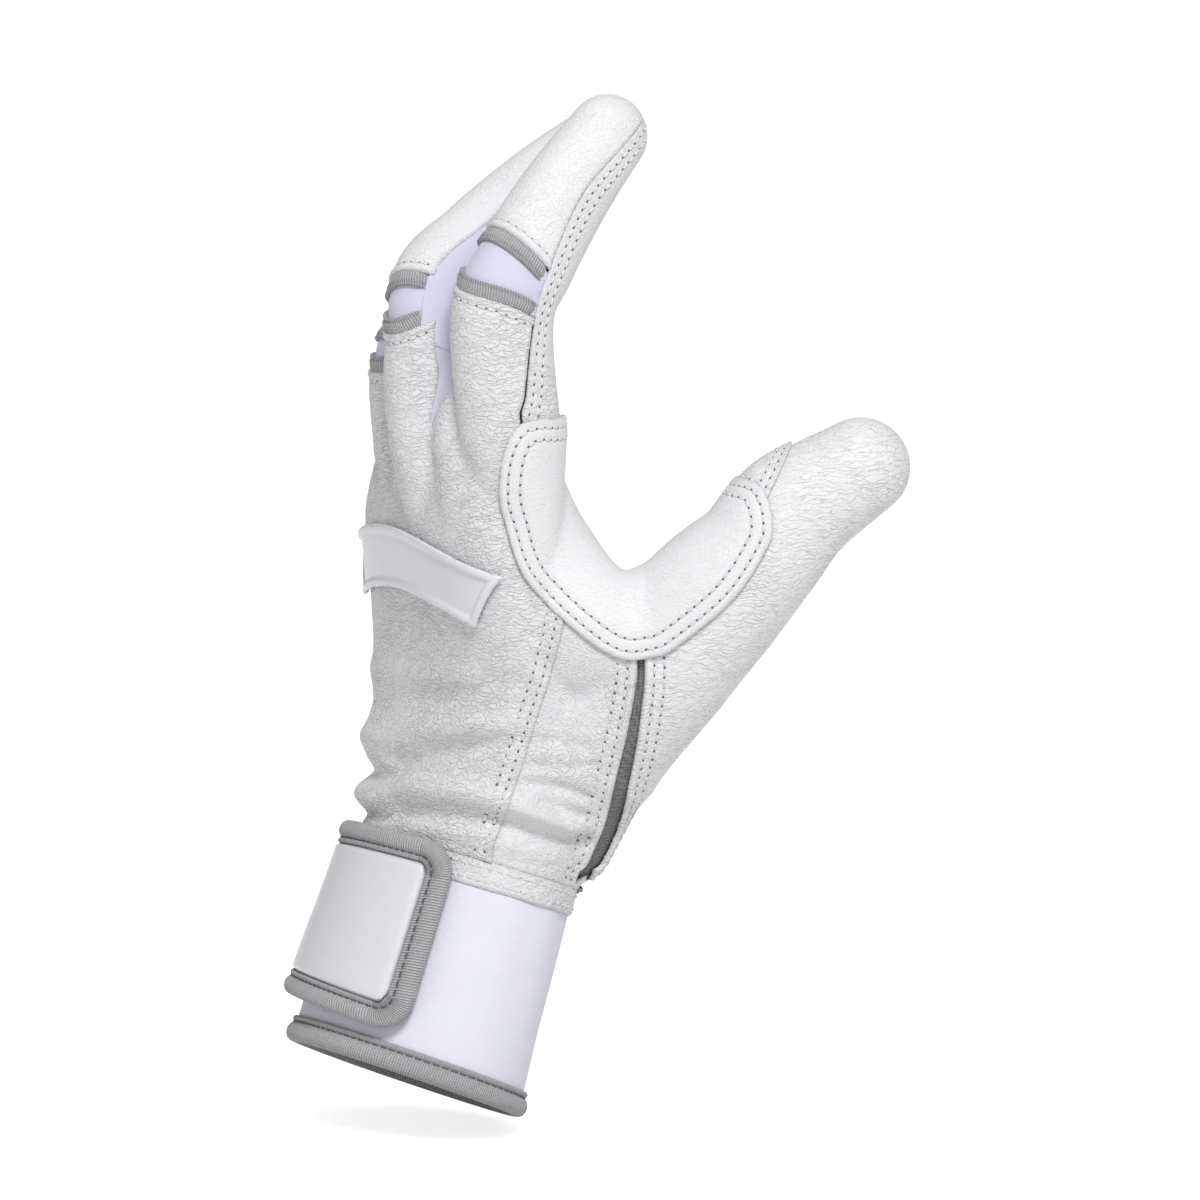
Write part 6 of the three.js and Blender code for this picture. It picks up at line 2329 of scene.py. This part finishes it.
class FinishSet:
    """Every finish of the glove, made once."""

    WHITE = (0.79, 0.79, 0.805)
    # Painted shade: a darker copy of the white leather for the back and side panels and the wrist hem, for
    # the shade that the back of the hand lies in.
    PAINTED_SHADE = (0.75, 0.75, 0.765)

    def __init__(self, form: HandForm) -> None:
        """Makes the finishes.

        Args:
            form: the hand, whose ways turn the leather's wrinkles.
        """
        thumb = form.thumb_tube().frame(0.75)[1]
        self.back = LeatherFinish(
            "back_leather", self.PAINTED_SHADE, 0.5, (-0.12, 0.1, 0.99), grain=0.25, wrinkles=1.0,
        ).make()
        self.side = LeatherFinish(
            "side_leather", self.PAINTED_SHADE, 0.5, (0.3, -0.2,
                                               0.93), grain=0.4, wrinkles=1.0, wide=0.0022, cells=0.6,
        ).make()
        self.palm = LeatherFinish(
            "palm_leather", self.WHITE, 0.52, (0.0, 0.0, 1.0), grain=0.5, wrinkles=0.8,
        ).make()
        self.thumb = LeatherFinish(
            "thumb_leather", self.WHITE, 0.5, tuple(thumb),
            grain=0.3, wrinkles=0.85, pitch=0.0013, wide=0.0052,
        ).make()
        self.web = LeatherFinish(
            "web_leather", self.WHITE, 0.5, (0.5, -0.3, -0.8), grain=0.35, wrinkles=0.3,
        ).make()
        self.ends = {}
        for finger in form.fingers:
            way = finger.tube(form.wrist).frame(0.7)[1]
            self.ends[finger.name] = LeatherFinish(
                finger.name + "_leather", self.WHITE, 0.5, tuple(way),
                grain=0.7, wrinkles=0.5, pitch=0.0011, wide=0.0018, cells=0.5,
            ).make()
        # Partly its own tone and partly painted shade: the stretch cloth of the forks, finger sides, gussets
        # and strap band is darker than the cuff's cloth, for the shade that the forks lie in.
        self.spandex = StretchFinish("stretch_cloth", (0.65, 0.65, 0.79), 0.7).make()
        self.spandex_cuff = StretchFinish("cuff_cloth", (0.79, 0.79, 0.885), 0.75).make()
        self.binding = RibbedFinish("ribbed_binding", (0.50, 0.50, 0.515), 0.8).make()
        self.thread = ThreadFinish("thread", (0.78, 0.78, 0.80), 0.6).make()
        # Painted shade: the dark colour of the needle holes' buttons stands for the shade inside the holes.
        self.needle_hole_shade = ThreadFinish("needle_hole_shade", (0.16, 0.16, 0.17), 0.8).make()
        self.dark_thread = ThreadFinish("dark_thread", (0.13, 0.13, 0.14), 0.7).make()
        self.moulded = MouldedFinish("moulded_white", (0.76, 0.76, 0.80), 0.3).make()
        self.mesh = MeshFinish("dark_mesh", (0.30, 0.30, 0.31), 0.85, 1300.0, 0.25).make()
        self.pile = MeshFinish("pile", (0.66, 0.66, 0.71), 0.9, 900.0, 0.6).make()

    def finger(self, finger: Finger) -> Material:
        """Returns the leather of one finger's end."""
        return self.ends[finger.name]


# Floor, light and camera


@dataclass
class Studio:
    """A pale floor, soft light and the camera of the photograph."""

    azimuth: float = -30.0
    elevation: float = 5.5
    distance: float = 1.6
    aim: Tuple[float, float, float] = (44.2, 107.6, 15.0)
    picture_height: float = 276.0
    floor_height: float = -17.5

    def build(self) -> None:
        """Builds the floor, the lights and the camera."""
        self.build_floor()
        self.build_lights()
        self.build_camera()
        bpy.context.scene.view_settings.view_transform = "Standard"

    def build_floor(self) -> None:
        """Builds the floor and its plain white material."""
        shape = bmesh.new()
        bmesh.ops.create_grid(shape, x_segments=1, y_segments=1, size=6000.0)
        bmesh.ops.translate(shape, vec=(0, 0, self.floor_height), verts=shape.verts)
        floor = shaped_object("floor", shape)
        material = bpy.data.materials.new("floor_white")
        material.use_nodes = True
        tree = material.node_tree
        shader = tree.nodes["Principled BSDF"]
        shader.inputs["Base Color"].default_value = (0.86, 0.86, 0.86, 1.0)
        shader.inputs["Roughness"].default_value = 0.95
        shader.inputs["Specular IOR Level"].default_value = 0.0
        path = add_node(tree, "ShaderNodeLightPath")
        seen = math_node(tree, "MAXIMUM", path.outputs["Is Camera Ray"], path.outputs["Is Glossy Ray"])
        glow = add_node(tree, "ShaderNodeEmission", {"Strength": math_node(tree, "MULTIPLY", seen, 0.75)})
        both = add_node(tree, "ShaderNodeAddShader", {"0": shader.outputs[0], "1": glow.outputs[0]})
        tree.links.new(both.outputs[0], tree.nodes["Material Output"].inputs["Surface"])
        floor.data.materials.append(material)

    def build_lights(self) -> None:
        """Builds a pale surround and one large soft lamp from the upper front."""
        world = bpy.data.worlds.new("surround")
        bpy.context.scene.world = world
        world.use_nodes = True
        tree = world.node_tree
        background = tree.nodes["Background"]
        background.inputs["Color"].default_value = (1.0, 1.0, 1.0, 1.0)
        path = add_node(tree, "ShaderNodeLightPath")
        seen = math_node(tree, "MAXIMUM", path.outputs["Is Camera Ray"], path.outputs["Is Transmission Ray"])
        strength = math_node(tree, "MULTIPLY_ADD", seen, 0.55, 0.45)
        tree.links.new(strength, background.inputs["Strength"])
        self.add_lamp("key", (-0.45, -1.2, 1.25), 0.5, 19.5)

    @staticmethod
    def add_lamp(name: str, place: Tuple[float, float, float], size: float, power: float) -> None:
        """Adds a square soft lamp that faces the glove.

        Args:
            name: its name.
            place: its place in metres.
            size: its side in metres.
            power: its power in watts.
        """
        data = bpy.data.lights.new(name, "AREA")
        data.size = size
        data.energy = power
        lamp = bpy.data.objects.new(name, data)
        lamp.location = place
        lamp.rotation_euler = (Vector((0.02, -0.01, 0.1)) - Vector(place)).to_track_quat("-Z", "Y").to_euler()
        bpy.context.scene.collection.objects.link(lamp)

    def build_camera(self) -> None:
        """Builds the camera at the photograph's angle."""
        across, up, out = self.aim
        target = Vector((ACROSS * across + UP * up + OUT * out + FRAME_SHIFT) * MM)
        turn, rise = math.radians(self.azimuth), math.radians(self.elevation)
        back = Vector((math.sin(turn) * math.cos(rise), -math.cos(turn) * math.cos(rise), math.sin(rise)))
        data = bpy.data.cameras.new("camera")
        data.sensor_width = 36.0
        data.lens = 36.0 * self.distance / (self.picture_height * MM)
        data.clip_start = 0.05
        camera = bpy.data.objects.new("camera", data)
        camera.location = target + back * self.distance
        camera.rotation_euler = (-back).to_track_quat("-Z", "Y").to_euler()
        bpy.context.scene.collection.objects.link(camera)
        bpy.context.scene.camera = camera


def main() -> None:
    """Builds the glove on its frame and the studio around it."""
    form = HandForm()
    form.build()
    finishes = FinishSet(form)
    hand = HandPanels(form, Pattern(form), finishes)
    hand.build()
    FingerEnds(hand).build()
    Cuff(form, hand).build()
    WristStrap(form, hand).build()
    BackBand(form, hand).build()
    ThumbStrip(form, hand).build()
    Studio().build()


if __name__ == "__main__":
    main()
